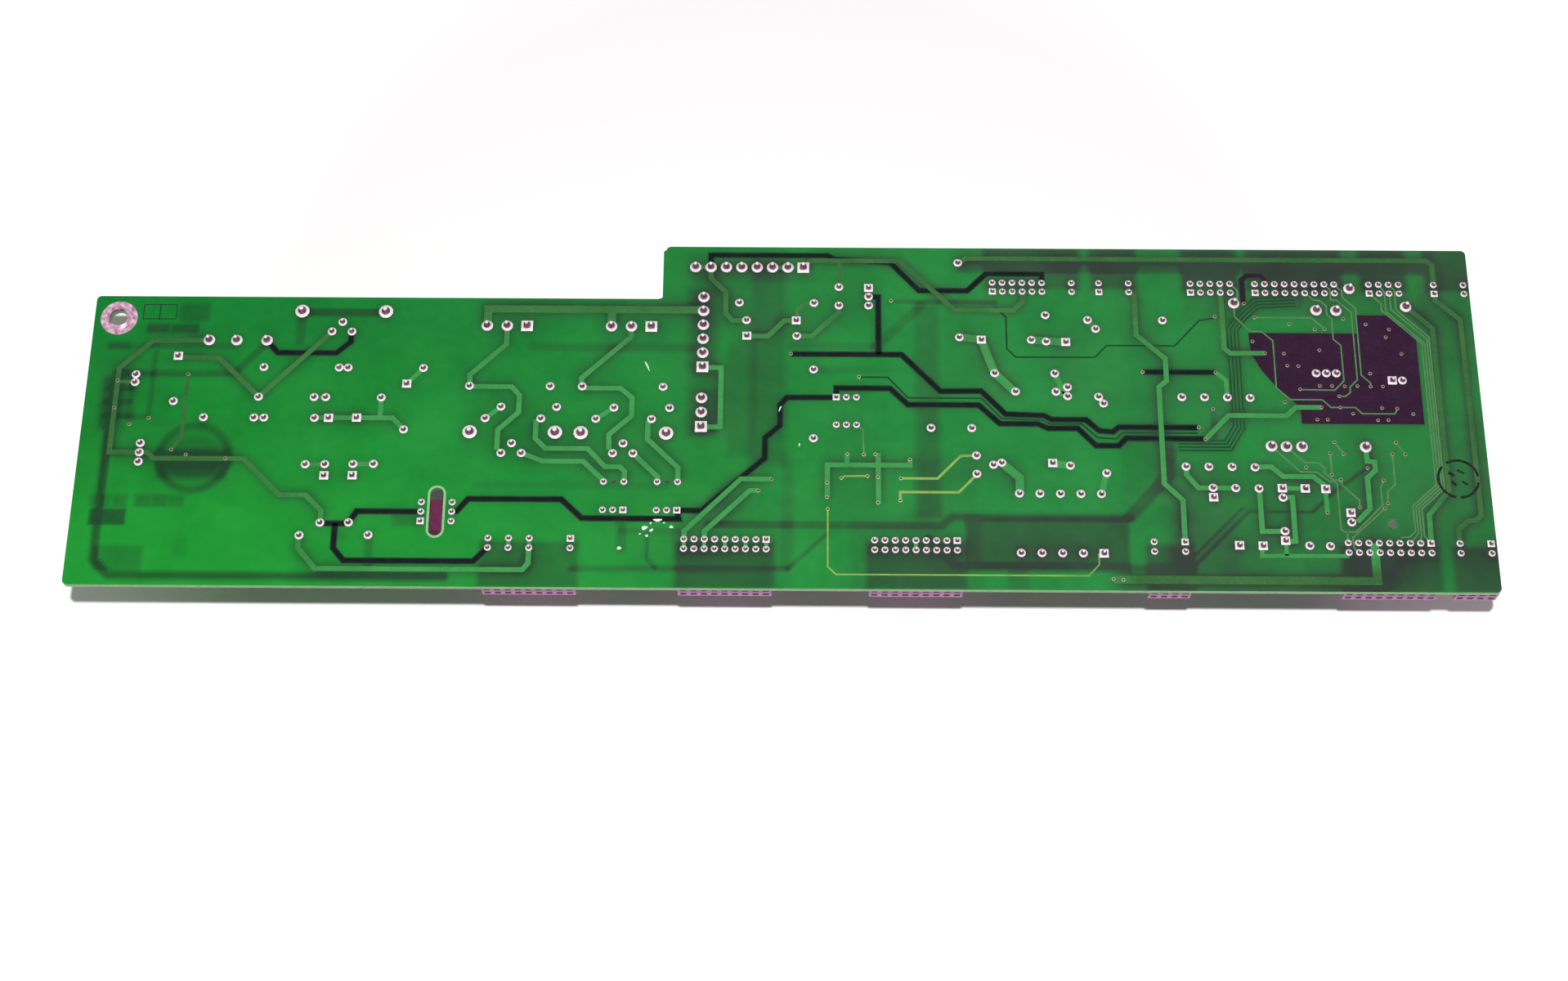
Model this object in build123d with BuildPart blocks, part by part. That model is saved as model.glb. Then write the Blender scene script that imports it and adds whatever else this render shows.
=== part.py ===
from build123d import *
import os

os.makedirs("parts", exist_ok=True)

# Interconnect board, solder side up, standing on its tallest parts. Lengths are in millimetres.
# X runs along the board, Y from its front edge to its rear edge, and Z is up.
# The board's outline is centred on X and Y, and the lowest faces stand at Z = 0.

# Laminate
board_length = 351.8
board_depth = 94.4
board_thickness = 1.6
narrow_length = 145.65
narrow_depth = 79.2
corner_radius = 1.2
copper_thickness = 0.06

# The step's corner and root radii, as shares of its drop, and the depth that the tables give the narrow end
step_corner_share = 0.079
step_root_share = 0.132
narrow_depth_share = 0.839

# Holes through the laminate
slot_length = 12.8
slot_width = 3.3
tooling_diameter = 2.6
mounting_bore = 4.4
lip_width = 0.15
ring_diameter = 9.4
fillet_diameter = 6.4
fillet_rise = 0.5
lip_rise = 0.2

# Copper
track_width = 1.3
heavy_track_width = 2.1
far_track_width = 1.25

# Solder joints: width across and height over the copper
small_joint_width = 1.75
small_joint_rise = 1.25
medium_joint_width = 2.25
medium_joint_rise = 1.5
large_joint_width = 3.0
large_joint_rise = 2.4
power_joint_width = 3.7
power_joint_rise = 2.0

# Right-angle sockets on both long edges
pin_pitch = 2.54
socket_height = 4.85
socket_end_wall = 0.1
socket_face_recess = 0.5
socket_back_wall = 1.0
opening_width = 1.5
opening_height = 1.4
opening_depth = 6.0
front_row_setback = 10.33
rear_row_setback = 10.0
tail_thickness = 0.6

# Upright headers
header_pitch = 3.96
header_width = 6.4
header_base_height = 3.2
header_wall_thickness = 1.5
header_wall_height = 8.0
post_thickness = 1.14
post_height = 11.6

# Upright power devices, which with the line capacitor and the transformer carry the board
device_leg_pitch = 5.08
device_leg_height = 4.3
device_leg_drop = 1.3
device_leg_width = 0.8
device_leg_thickness = 0.6
device_width = 10.2
device_thickness = 4.5
device_body_height = 9.2
device_tab_height = 6.4
device_tab_thickness = 1.3
device_tab_hole = 3.7

# Small chips in two rows
chip_length = 8.2
chip_width = 6.4
chip_height = 3.4
chip_standoff = 0.5
chip_draft = 0.25
chip_row_span = 7.62
chip_leg_width = 1.2
chip_leg_thickness = 0.3
chip_leg_drop = 2.1

# Transformer
transformer_pin_pitch = 5.08
transformer_row_span = 15.85
bobbin_length = 25.5
bobbin_rail_width = 4.5
bobbin_rail_height = 3.5
core_length = 26.0
core_depth = 20.4
core_height = 9.0
core_drop = 7.2
window_length = 15.2
window_width = 4.6
centre_leg_width = 6.0
winding_length = 14.8
winding_depth = 14.6

# Capacitors, crystal, choke and controller
line_cap_length = 18.0
line_cap_depth = 8.0
line_cap_lead_span = 14.7
line_cap_mid_lead = 0.35
box_chamfer = 0.6
wide_cap_length = 18.0
wide_cap_span = 15.2
mid_cap_length = 13.0
mid_cap_span = 10.2
small_cap_length = 10.0
small_cap_span = 7.5
disc_length = 7.0
disc_span = 5.3
bead_length = 4.4
bead_span = 2.2
box_cap_depth = 4.4
wide_cap_height = 11.0
small_cap_height = 8.5
bead_height = 5.0
can_diameter = 6.3
can_height = 11.0
can_span = 2.54
crystal_length = 11.0
crystal_depth = 4.7
crystal_height = 13.0
crystal_corner = 1.5
crystal_span = 5.0
choke_diameter = 19.0
choke_bore = 9.0
choke_height = 8.0
controller_width = 16.5
controller_height = 3.7
controller_corner = 1.2
controller_standoff = 0.5

# Axial parts: body length, body diameter and lead span
resistor_length = 10.0
resistor_diameter = 3.8
resistor_span = 19.1
half_watt_length = 6.8
half_watt_diameter = 2.4
half_watt_span = 14.0
quarter_watt_length = 6.2
quarter_watt_diameter = 2.3
quarter_watt_span = 12.7
two_watt_length = 12.0
two_watt_diameter = 4.4
two_watt_span = 20.4
power_length = 15.0
power_diameter = 4.2
power_span = 21.4
diode_length = 4.6
diode_diameter = 2.2
diode_span = 12.7
rectifier_length = 8.5
rectifier_diameter = 4.6
rectifier_span = 15.3

# Small transistors
transistor_diameter = 4.6
transistor_height = 4.8
transistor_flat = 1.0
transistor_pitch = 2.54
transistor_rear_pin = 2.7

# Turns and polygon sides
quarter_turn = 90
half_turn = 180
joint_sides = 6
body_sides = 8
can_sides = 10

# Levels that follow from the sizes above
stack_height = device_leg_height + device_body_height + device_tab_height
underside = stack_height + copper_thickness
seat = stack_height
board_top = underside + board_thickness
joint_base = board_top + copper_thickness

# Places, as shares of the board's length from its left end and of its depth from its front edge
mounting_hole_shares = (0.0178, 0.772)
tooling_hole_shares = (0.9287, 0.192)
slot_shares = (0.2570, 0.210)
header_eight_shares = (0.4751, 0.937)
header_six_shares = (0.4422, 0.740)
header_three_shares = (0.4420, 0.501)
device_left_shares = (0.3000, 0.755)
device_right_shares = (0.3901, 0.755)
chip_one_shares = (0.2572, 0.210)
chip_two_shares = (0.3812, 0.258)
chip_three_shares = (0.4191, 0.258)
chip_four_shares = (0.5457, 0.507)
transformer_shares = (0.6964, 0.187)
line_cap_shares = (0.1059, 0.707)
choke_shares = (0.0810, 0.350)
controller_shares = (0.5614, 0.303)
crystal_shares = (0.6379, 0.353)
wide_cap_shares = (0.6740, 0.621)
mid_cap_shares = [(0.6205, 0.459), (0.6815, 0.567)]
small_cap_shares = (0.6903, 0.756)
disc_shares = (0.5405, 0.850)
bead_shares = (0.0348, 0.592)
can_front_shares = [(0.8042, 0.277), (0.8526, 0.155)]
can_rear_shares = [(0.8530, 0.277), (0.8999, 0.208)]
can_along_shares = (0.9414, 0.606)
resistor_along_shares = [(0.1535, 0.627), (0.2142, 0.627), (0.4952, 0.829), (0.7480, 0.782)]
resistor_across_shares = [
    (0.1622, 0.242), (0.2105, 0.244), (0.5222, 0.528), (0.7264, 0.654), (0.7297, 0.432),
    (0.7042, 0.453), (0.7860, 0.452), (0.8022, 0.452), (0.8186, 0.452), (0.8348, 0.451),
]
half_watt_shares = [
    (0.1444, 0.539), (0.1926, 0.539), (0.3186, 0.514), (0.3077, 0.480), (0.3994, 0.513), (0.3867, 0.480),
]
quarter_watt_shares = [(0.1046, 0.478), (0.1478, 0.478)]
two_watt_shares = [(0.3042, 0.575), (0.3852, 0.575)]
power_along_shares = [(0.1809, 0.796), (0.3077, 0.440), (0.3869, 0.439)]
power_across_shares = (0.6276, 0.841)
diode_right_shares = [(0.4915, 0.776), (0.6737, 0.359)]
diode_left_shares = [(0.4919, 0.729), (0.6615, 0.721)]
diode_rear_shares = [
    (0.0638, 0.592), (0.2301, 0.513), (0.1760, 0.411), (0.1960, 0.412), (0.1761, 0.244),
    (0.1961, 0.245), (0.7044, 0.648),
]
rectifier_front_shares = [(0.8202, 0.209), (0.8366, 0.208)]
rectifier_rear_shares = [(0.8692, 0.209), (0.8836, 0.208)]
transistor_bent_shares = [(0.1805, 0.735), (0.3076, 0.379), (0.3869, 0.380)]
transistor_across_shares = (0.0436, 0.375)
transistor_marked_shares = (0.5621, 0.849)
transistor_along_shares = (0.8908, 0.626)
test_pad_shares = (0.6498, 0.353)
single_pad_shares = [
    (0.8277, 0.835), (0.8872, 0.815), (0.9016, 0.814), (0.9125, 0.881), (0.9525, 0.827),
    (0.8476, 0.411), (0.8582, 0.410), (0.8692, 0.410), (0.9144, 0.410),
]

# Sockets: name, share of the length at the middle, and the columns from the plug's left,
# where c is a column with contacts and o an empty one
front_socket_shares = [
    ("front_socket_1", 0.3235, "cococoooc"),
    ("front_socket_2", 0.4605, "ccccccccc"),
    ("front_socket_3", 0.5941, "ccccccccc"),
    ("front_socket_4", 0.7714, "cooc"),
    ("front_socket_5", 0.9251, "ccccccccc"),
    ("front_socket_6", 0.9851, "cooc"),
]
rear_socket_shares = [
    ("rear_socket_1", 0.6813, "coocccccc"),
    ("rear_socket_2", 0.7409, "cooc"),
    ("rear_socket_3", 0.8113, "ccccc"),
    ("rear_socket_4", 0.8728, "ccccccccc"),
    ("rear_socket_5", 0.9378, "cccc"),
    ("rear_socket_6", 0.9851, "cooc"),
]

# Track routes, corner by corner
track_shares = [
    [(0.0850, 0.707), (0.0443, 0.704), (0.0222, 0.621), (0.0222, 0.375), (0.0495, 0.375),
     (0.0537, 0.358), (0.1180, 0.358), (0.1455, 0.255), (0.1643, 0.255), (0.1762, 0.210),
     (0.1762, 0.176)],
    [(0.0640, 0.655), (0.0938, 0.653), (0.1245, 0.539)],
    [(0.1245, 0.539), (0.1532, 0.653), (0.1734, 0.734)],
    [(0.1660, 0.479), (0.2217, 0.479), (0.2300, 0.446)],
    [(0.1620, 0.141), (0.1620, 0.106), (0.1751, 0.048), (0.3198, 0.048), (0.3235, 0.066),
     (0.3235, 0.109)],
    [(0.3002, 0.754), (0.3002, 0.699), (0.2752, 0.608), (0.2752, 0.576)],
    [(0.2752, 0.573), (0.3056, 0.573), (0.3115, 0.548), (0.3115, 0.498), (0.2973, 0.446),
     (0.2973, 0.388)],
    [(0.3903, 0.754), (0.3903, 0.724), (0.3553, 0.599), (0.3562, 0.575)],
    [(0.3562, 0.570), (0.3837, 0.570), (0.3923, 0.542), (0.3923, 0.489), (0.3766, 0.434),
     (0.3769, 0.390)],
    [(0.3272, 0.479), (0.3243, 0.471), (0.3243, 0.422), (0.3317, 0.393), (0.3619, 0.393),
     (0.3746, 0.341), (0.3852, 0.341), (0.3886, 0.328), (0.3886, 0.299)],
    [(0.3150, 0.379), (0.3303, 0.356), (0.3590, 0.356), (0.3738, 0.302)],
    [(0.4065, 0.480), (0.4042, 0.469), (0.4042, 0.421), (0.4264, 0.339), (0.4264, 0.300)],
    [(0.3943, 0.379), (0.4122, 0.312), (0.4119, 0.299)],
    [(0.4468, 0.937), (0.4471, 0.904), (0.4582, 0.860), (0.4582, 0.796), (0.4633, 0.774),
     (0.4733, 0.776)],
    [(0.4423, 0.633), (0.4557, 0.633), (0.4557, 0.458), (0.4420, 0.458)],
    [(0.4738, 0.728), (0.4892, 0.728), (0.5009, 0.775), (0.5097, 0.776)],
    [(0.5099, 0.729), (0.5208, 0.729), (0.5406, 0.802), (0.5404, 0.822)],
    [(0.5145, 0.937), (0.5202, 0.959), (0.5850, 0.959), (0.6245, 0.810), (0.6674, 0.810),
     (0.6742, 0.837), (0.6742, 0.868)],
    [(0.4318, 0.137), (0.4318, 0.159), (0.4710, 0.308), (0.4926, 0.308)],
    [(0.4460, 0.137), (0.4460, 0.159), (0.4775, 0.275), (0.4835, 0.275)],
    [(0.5321, 0.257), (0.5321, 0.350), (0.5907, 0.350), (0.5907, 0.367)],
    [(0.5682, 0.385), (0.5682, 0.239)],
    [(0.7518, 0.869), (0.7555, 0.856), (0.7555, 0.738), (0.7757, 0.667), (0.7757, 0.601),
     (0.7700, 0.583), (0.7700, 0.302), (0.7825, 0.254), (0.7823, 0.135)],
    [(0.8186, 0.890), (0.8186, 0.699), (0.8229, 0.684), (0.8479, 0.685)],
    [(0.8010, 0.430), (0.8186, 0.500), (0.8599, 0.500), (0.8670, 0.525), (0.8854, 0.525)],
    [(0.7860, 0.351), (0.7860, 0.328), (0.7939, 0.290), (0.8201, 0.290)],
    [(0.8348, 0.351), (0.8465, 0.351), (0.8542, 0.324), (0.8755, 0.324), (0.8835, 0.297)],
    [(0.8368, 0.289), (0.8368, 0.167), (0.8525, 0.168)],
    [(0.8530, 0.264), (0.8596, 0.264), (0.8596, 0.140), (0.8528, 0.140)],
    [(0.9144, 0.410), (0.9144, 0.369), (0.9198, 0.367), (0.9198, 0.343), (0.9136, 0.321),
     (0.9136, 0.233), (0.9039, 0.196)],
    [(0.6279, 0.952), (0.6330, 0.968), (0.9707, 0.968), (0.9747, 0.954), (0.9744, 0.895)],
    [(0.9744, 0.867), (0.9744, 0.847), (0.9912, 0.789), (0.9912, 0.217), (0.9878, 0.203),
     (0.9815, 0.200), (0.9744, 0.176), (0.9741, 0.135)],
    [(0.9525, 0.827), (0.9704, 0.763), (0.9704, 0.286), (0.9548, 0.217), (0.9542, 0.133)],
]
heavy_track_shares = [
    [(0.2857, 0.755), (0.2857, 0.806), (0.4420, 0.806)],
    [(0.3758, 0.755), (0.3758, 0.797)],
    [(0.6273, 0.728), (0.6433, 0.722), (0.6524, 0.621), (0.6663, 0.567)],
    [(0.6796, 0.721), (0.7044, 0.714)],
    [(0.6680, 0.271), (0.6680, 0.316), (0.6566, 0.355)],
    [(0.7311, 0.030), (0.9144, 0.030), (0.9144, 0.135)],
]
far_track_shares = [
    [(0.1268, 0.707), (0.1353, 0.671), (0.1777, 0.671), (0.1876, 0.704), (0.1876, 0.735)],
    [(0.1961, 0.177), (0.2013, 0.210), (0.2388, 0.210)],
    [(0.1868, 0.175), (0.1868, 0.148), (0.1944, 0.129)],
    [(0.2791, 0.247), (0.3448, 0.247), (0.3596, 0.194), (0.4008, 0.193)],
    [(0.4349, 0.217), (0.4434, 0.217), (0.4878, 0.369), (0.4878, 0.427), (0.4983, 0.464),
     (0.4983, 0.524), (0.5031, 0.546), (0.5287, 0.547)],
    [(0.5060, 0.675), (0.5856, 0.675), (0.6131, 0.567), (0.6424, 0.568), (0.6595, 0.500),
     (0.6868, 0.497), (0.6922, 0.485), (0.7166, 0.485), (0.7257, 0.453), (0.7354, 0.450),
     (0.7399, 0.464), (0.7959, 0.464)],
    [(0.5387, 0.574), (0.5770, 0.574), (0.5898, 0.526), (0.6404, 0.526), (0.6552, 0.472),
     (0.6822, 0.472), (0.6893, 0.460), (0.7106, 0.460), (0.7231, 0.410), (0.7391, 0.410),
     (0.7447, 0.432), (0.8010, 0.431)],
    [(0.5324, 0.975), (0.5372, 0.964), (0.5785, 0.953), (0.5989, 0.869), (0.6339, 0.869)],
    [(0.5691, 0.784), (0.5691, 0.675)],
    [(0.7590, 0.627), (0.8113, 0.627)],
]
plane_shares = [
    (0.8368, 0.746), (0.9161, 0.746), (0.9161, 0.801), (0.9395, 0.801), (0.9579, 0.734),
    (0.9579, 0.477), (0.8704, 0.477), (0.8704, 0.525), (0.8542, 0.585), (0.8442, 0.636),
    (0.8374, 0.683),
]


def spot(shares, level, turn=0):
    """A place on the board: two shares, a height and a turn. The narrow end has its own depth."""
    full_depth = board_depth
    if shares[0] * board_length < narrow_length:
        full_depth = narrow_depth / narrow_depth_share
    x = (shares[0] - 1 / 2) * board_length
    y = shares[1] * full_depth - board_depth / 2
    return Location((x, y, level), (0, 0, turn))


def ends(places, span):
    """The left and the right end of a lead span at each place, as two lists."""
    left = [place * Location((-span / 2, 0, 0)) for place in places]
    right = [place * Location((span / 2, 0, 0)) for place in places]
    return left, right


def route(shares):
    """The corners of one track on the board."""
    return [spot(pair, 0).position for pair in shares]


def ribbons(level, groups, rise):
    """Raised copper ribbons: each group is a list of routes and their width."""
    with BuildPart() as copper:
        with BuildSketch(Plane.XY.offset(level)):
            for routes, width in groups:
                for shares in routes:
                    with BuildLine():
                        Polyline(*route(shares))
                    trace(line_width=width)
        extrude(amount=rise)
    return copper


def round_joint(width, rise):
    """A soldered lead: a faceted cone that rises from its pad to the lead's tip."""
    with BuildSketch() as pad:
        RegularPolygon(width / 2, joint_sides)
    with BuildPart() as joint:
        loft([pad.sketch.face(), Vertex(0, 0, rise)])
    return joint.part


def square_joint(width, rise):
    """A soldered lead on a square pad: a pyramid that rises to the lead's tip."""
    with BuildSketch() as pad:
        Rectangle(width, width)
    with BuildPart() as joint:
        loft([pad.sketch.face(), Vertex(0, 0, rise)])
    return joint.part


def axial_body(length, diameter):
    """A round body that lies under the board along X, drawn with eight sides, touching its seat."""
    flat_radius = diameter / 2
    with BuildPart() as body:
        with BuildSketch(Plane.YZ.offset(-length / 2)):
            with Locations((0, -flat_radius)):
                RegularPolygon(flat_radius, body_sides, major_radius=False, rotation=half_turn / body_sides)
        extrude(amount=length)
    return body.part


def box_body(length, depth, height, bevel):
    """A moulded box that hangs from its seat, with bevelled upright corners."""
    with BuildPart() as body:
        with BuildSketch():
            outline = Rectangle(length, depth)
            chamfer(outline.vertices(), length=bevel)
        extrude(amount=-height)
    return body.part


def scatter(groups):
    """Copies of each piece at each of its places, as one node of separate solids."""
    with BuildPart() as group:
        for piece, places in groups:
            with Locations(*places):
                add(piece)
    return group


def socket(columns, setback):
    """A right-angle two-row socket with its face to -Y, seated at Z = 0, from the board's edge at Y = 0."""
    width = columns * pin_pitch + 2 * socket_end_wall
    depth = setback + socket_back_wall - socket_face_recess
    face = Plane.XZ.offset(-socket_face_recess)
    with BuildPart() as body:
        with BuildSketch(face):
            with Locations((0, -socket_height / 2)):
                Rectangle(width, socket_height)
        extrude(amount=-depth)
        with BuildSketch(face):
            with Locations((0, -socket_height / 2)):
                with GridLocations(pin_pitch, pin_pitch, columns, 2):
                    Rectangle(opening_width, opening_height)
        extrude(amount=-opening_depth, mode=Mode.SUBTRACT)
    return body.part


def contact_tail(setback):
    """The bent tail of a lower contact: out of the socket's back, then up to the board."""
    back = setback + socket_back_wall
    row = setback + pin_pitch
    level = -socket_height / 2 - pin_pitch / 2
    half = tail_thickness / 2
    with BuildPart() as tail:
        with BuildSketch(Plane.YZ.offset(-half)):
            with BuildLine():
                Polyline(
                    (back, level - half),
                    (row + half, level - half),
                    (row + half, 0),
                    (row - half, 0),
                    (row - half, level + half),
                    (back, level + half),
                    close=True,
                )
            make_face()
        extrude(amount=tail_thickness)
    return tail.part


def column_offset(column, columns):
    """Where one column stands along its socket, from the middle."""
    return (column - (columns - 1) / 2) * pin_pitch


def header_base(count):
    """The wafer of an upright header with its lock wall, laid along X under its seat."""
    length = count * header_pitch
    with BuildPart() as wafer:
        with BuildSketch(Plane.YZ.offset(-length / 2)):
            with BuildLine():
                Polyline(
                    (-header_width / 2, 0),
                    (header_width / 2, 0),
                    (header_width / 2, -header_base_height),
                    (header_wall_thickness - header_width / 2, -header_base_height),
                    (header_wall_thickness - header_width / 2, -header_wall_height),
                    (-header_width / 2, -header_wall_height),
                    close=True,
                )
            make_face()
        extrude(amount=length)
    return wafer.part


def along(place, count, pitch):
    """Places in a row along a part's own X, from its left end."""
    return [place * Location(((i - (count - 1) / 2) * pitch, 0, 0)) for i in range(count)]


# Laminate with its step, slot and holes
with BuildPart() as board:
    with BuildSketch(Plane.XY.offset(underside)):
        with BuildLine():
            Polyline(
                (-board_length / 2, -board_depth / 2),
                (board_length / 2, -board_depth / 2),
                (board_length / 2, board_depth / 2),
                (narrow_length - board_length / 2, board_depth / 2),
                (narrow_length - board_length / 2, narrow_depth - board_depth / 2),
                (-board_length / 2, narrow_depth - board_depth / 2),
                close=True,
            )
        make_face()
    extrude(amount=board_thickness)
    step_drop = abs(board_depth - narrow_depth)
    step_root = (narrow_length - board_length / 2, narrow_depth - board_depth / 2, underside)
    upright = board.edges().filter_by(Axis.Z).sort_by_distance(step_root)
    fillet(upright[2:], radius=corner_radius)
    upright = board.edges().filter_by(Axis.Z).sort_by_distance(step_root)
    fillet(upright[1], radius=step_drop * step_corner_share)
    upright = board.edges().filter_by(Axis.Z).sort_by_distance(step_root)
    fillet(upright[0], radius=step_drop * step_root_share)
    with BuildSketch(Plane.XY.offset(underside)):
        with Locations(spot(mounting_hole_shares, 0)):
            Circle(mounting_bore / 2)
        with Locations(spot(tooling_hole_shares, 0)):
            Circle(tooling_diameter / 2)
        with Locations(spot(slot_shares, 0)):
            SlotOverall(slot_length, slot_width, rotation=quarter_turn)
    extrude(amount=board_thickness, mode=Mode.SUBTRACT)
board.part.label = "board"
export_step(board.part, "parts/board.step")

# Ring pad of the mounting hole, with the solder that is drawn up around its bore
ring_place = spot(mounting_hole_shares, board_top)
with BuildPart() as mounting_ring:
    with BuildSketch(Plane(ring_place.position, x_dir=(1, 0, 0), z_dir=(0, -1, 0))):
        with BuildLine():
            Polyline(
                (mounting_bore / 2, 0),
                (ring_diameter / 2, 0),
                (ring_diameter / 2, copper_thickness),
                (fillet_diameter / 2, copper_thickness),
                (mounting_bore / 2 + lip_width, fillet_rise),
                (mounting_bore / 2, lip_rise),
                close=True,
            )
        make_face()
    revolve(axis=Axis(ring_place.position, (0, 0, 1)))
mounting_ring.part.label = "mounting_ring"
export_step(mounting_ring.part, "parts/mounting_ring.step")

# Copper on both faces
solder_tracks = ribbons(board_top, [(track_shares, track_width), (heavy_track_shares, heavy_track_width)],
                        copper_thickness)
solder_tracks.part.label = "solder_tracks"
export_step(solder_tracks.part, "parts/solder_tracks.step")

far_tracks = ribbons(underside, [(far_track_shares, far_track_width)], -copper_thickness)
far_tracks.part.label = "far_tracks"
export_step(far_tracks.part, "parts/far_tracks.step")

with BuildPart() as far_plane:
    with BuildSketch(Plane.XY.offset(underside)):
        with BuildLine():
            Polyline(*route(plane_shares), close=True)
        make_face()
    extrude(amount=-copper_thickness)
far_plane.part.label = "far_plane"
export_step(far_plane.part, "parts/far_plane.step")

# Sockets on both edges, each a node, and the places of their contacts
small_round_places = []
small_square_places = []
front_tail_places = []
rear_tail_places = []
edge_rows = [
    (front_socket_shares, front_row_setback, -board_depth / 2, 0, front_tail_places),
    (rear_socket_shares, rear_row_setback, board_depth / 2, half_turn, rear_tail_places),
]
for sockets, setback, edge, turn, tail_places in edge_rows:
    for name, middle_share, marks in sockets:
        columns = len(marks)
        loaded = [column for column in range(columns) if marks[column] == "c"]
        middle = (middle_share - 1 / 2) * board_length
        place = Location((middle, edge, seat), (0, 0, turn))
        with BuildPart() as housing:
            with Locations(place):
                add(socket(columns, setback))
        housing.part.label = name
        export_step(housing.part, "parts/" + name + ".step")
        for column in loaded:
            shift = column_offset(column, columns)
            tail_places.append(place * Location((shift, 0, 0)))
            pad_place = Location((middle, edge, joint_base), (0, 0, turn))
            small_round_places.append(pad_place * Location((shift, setback, 0)))
            far_pad = pad_place * Location((shift, setback + pin_pitch, 0))
            if column == columns - 1:
                small_square_places.append(far_pad)
            else:
                small_round_places.append(far_pad)

front_tails = scatter([(contact_tail(front_row_setback), front_tail_places)])
front_tails.part.label = "front_tails"
export_step(front_tails.part, "parts/front_tails.step")

rear_tails = scatter([(contact_tail(rear_row_setback), rear_tail_places)])
rear_tails.part.label = "rear_tails"
export_step(rear_tails.part, "parts/rear_tails.step")

# Upright headers: wafers and posts. In each row of pads, s is a square one and o a round one
large_round_places = []
large_square_places = []
post_places = []
header_rows = [
    ("header_8", header_eight_shares, half_turn, "sooooooo"),
    ("header_6", header_six_shares, -quarter_turn, "ooooos"),
    ("header_3", header_three_shares, -quarter_turn, "oos"),
]
for name, shares, turn, marks in header_rows:
    count = len(marks)
    with BuildPart() as wafer:
        with Locations(spot(shares, seat, turn)):
            add(header_base(count))
    wafer.part.label = name
    export_step(wafer.part, "parts/" + name + ".step")
    post_places += along(spot(shares, seat - header_base_height, turn), count, header_pitch)
    for pad, mark in zip(along(spot(shares, joint_base, turn), count, header_pitch), marks):
        if mark == "s":
            large_square_places.append(pad)
        else:
            large_round_places.append(pad)

with BuildPart() as post:
    with BuildSketch():
        Rectangle(post_thickness, post_thickness)
    extrude(amount=header_base_height - post_height)
header_posts = scatter([(post.part, post_places)])
header_posts.part.label = "header_posts"
export_step(header_posts.part, "parts/header_posts.step")

# Upright power devices: legs, moulded bodies and metal tabs
device_shares = [("left", device_left_shares), ("right", device_right_shares)]
outer_legs = [device_leg_pitch, -device_leg_pitch]
with BuildPart() as device_leg_set:
    with BuildSketch(Plane.XZ.offset(-device_leg_thickness / 2)):
        for outer in outer_legs:
            with BuildLine():
                Polyline(
                    (outer, 0),
                    (outer, -device_leg_drop),
                    (outer / 2, device_leg_drop - device_leg_height),
                    (outer / 2, -device_leg_height),
                )
            trace(line_width=device_leg_width)
        with Locations((0, -device_leg_height / 2)):
            Rectangle(device_leg_width, device_leg_height)
    extrude(amount=device_leg_thickness)
device_legs = scatter([(device_leg_set.part, [spot(shares, seat) for side, shares in device_shares])])
device_legs.part.label = "device_legs"
export_step(device_legs.part, "parts/device_legs.step")

for side, shares in device_shares:
    with BuildPart() as device_body:
        with BuildSketch(Plane(spot(shares, seat - device_leg_height))):
            Rectangle(device_width, device_thickness)
        extrude(amount=-device_body_height)
    device_body.part.label = "device_body_" + side
    export_step(device_body.part, "parts/device_body_" + side + ".step")
    tab_place = spot(shares, 0) * Location((0, device_thickness / 2, 0))
    with BuildPart() as device_tab:
        with BuildSketch(Plane(tab_place.position, x_dir=(1, 0, 0), z_dir=(0, -1, 0))):
            with Locations((0, device_tab_height / 2)):
                Rectangle(device_width, device_tab_height)
                Circle(device_tab_hole / 2, mode=Mode.SUBTRACT)
        extrude(amount=device_tab_thickness)
    device_tab.part.label = "device_tab_" + side
    export_step(device_tab.part, "parts/device_tab_" + side + ".step")
    pads = along(spot(shares, joint_base), 3, device_leg_pitch)
    large_round_places += pads[:-1]
    large_square_places.append(pads[-1])

# Small chips: bodies with a parting line at mid height, and bent legs
with BuildSketch(Plane.YZ.offset(-chip_length / 2)) as chip_section:
    with BuildLine():
        Polyline(
            (chip_draft - chip_width / 2, -chip_standoff),
            (chip_width / 2 - chip_draft, -chip_standoff),
            (chip_width / 2, -chip_standoff - chip_height / 2),
            (chip_width / 2 - chip_draft, -chip_standoff - chip_height),
            (chip_draft - chip_width / 2, -chip_standoff - chip_height),
            (-chip_width / 2, -chip_standoff - chip_height / 2),
            close=True,
        )
    make_face()
with BuildPart() as chip_body:
    extrude(chip_section.sketch, amount=chip_length)

with BuildPart() as chip_leg:
    with BuildSketch(Plane.YZ.offset(-chip_leg_width / 2)):
        with BuildLine():
            Polyline(
                (chip_width / 2, -chip_leg_drop),
                (chip_row_span / 2 + chip_leg_thickness / 2, -chip_leg_drop),
                (chip_row_span / 2 + chip_leg_thickness / 2, 0),
                (chip_row_span / 2 - chip_leg_thickness / 2, 0),
                (chip_row_span / 2 - chip_leg_thickness / 2, chip_leg_thickness - chip_leg_drop),
                (chip_width / 2, chip_leg_thickness - chip_leg_drop),
                close=True,
            )
        make_face()
    extrude(amount=chip_leg_width)

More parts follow.
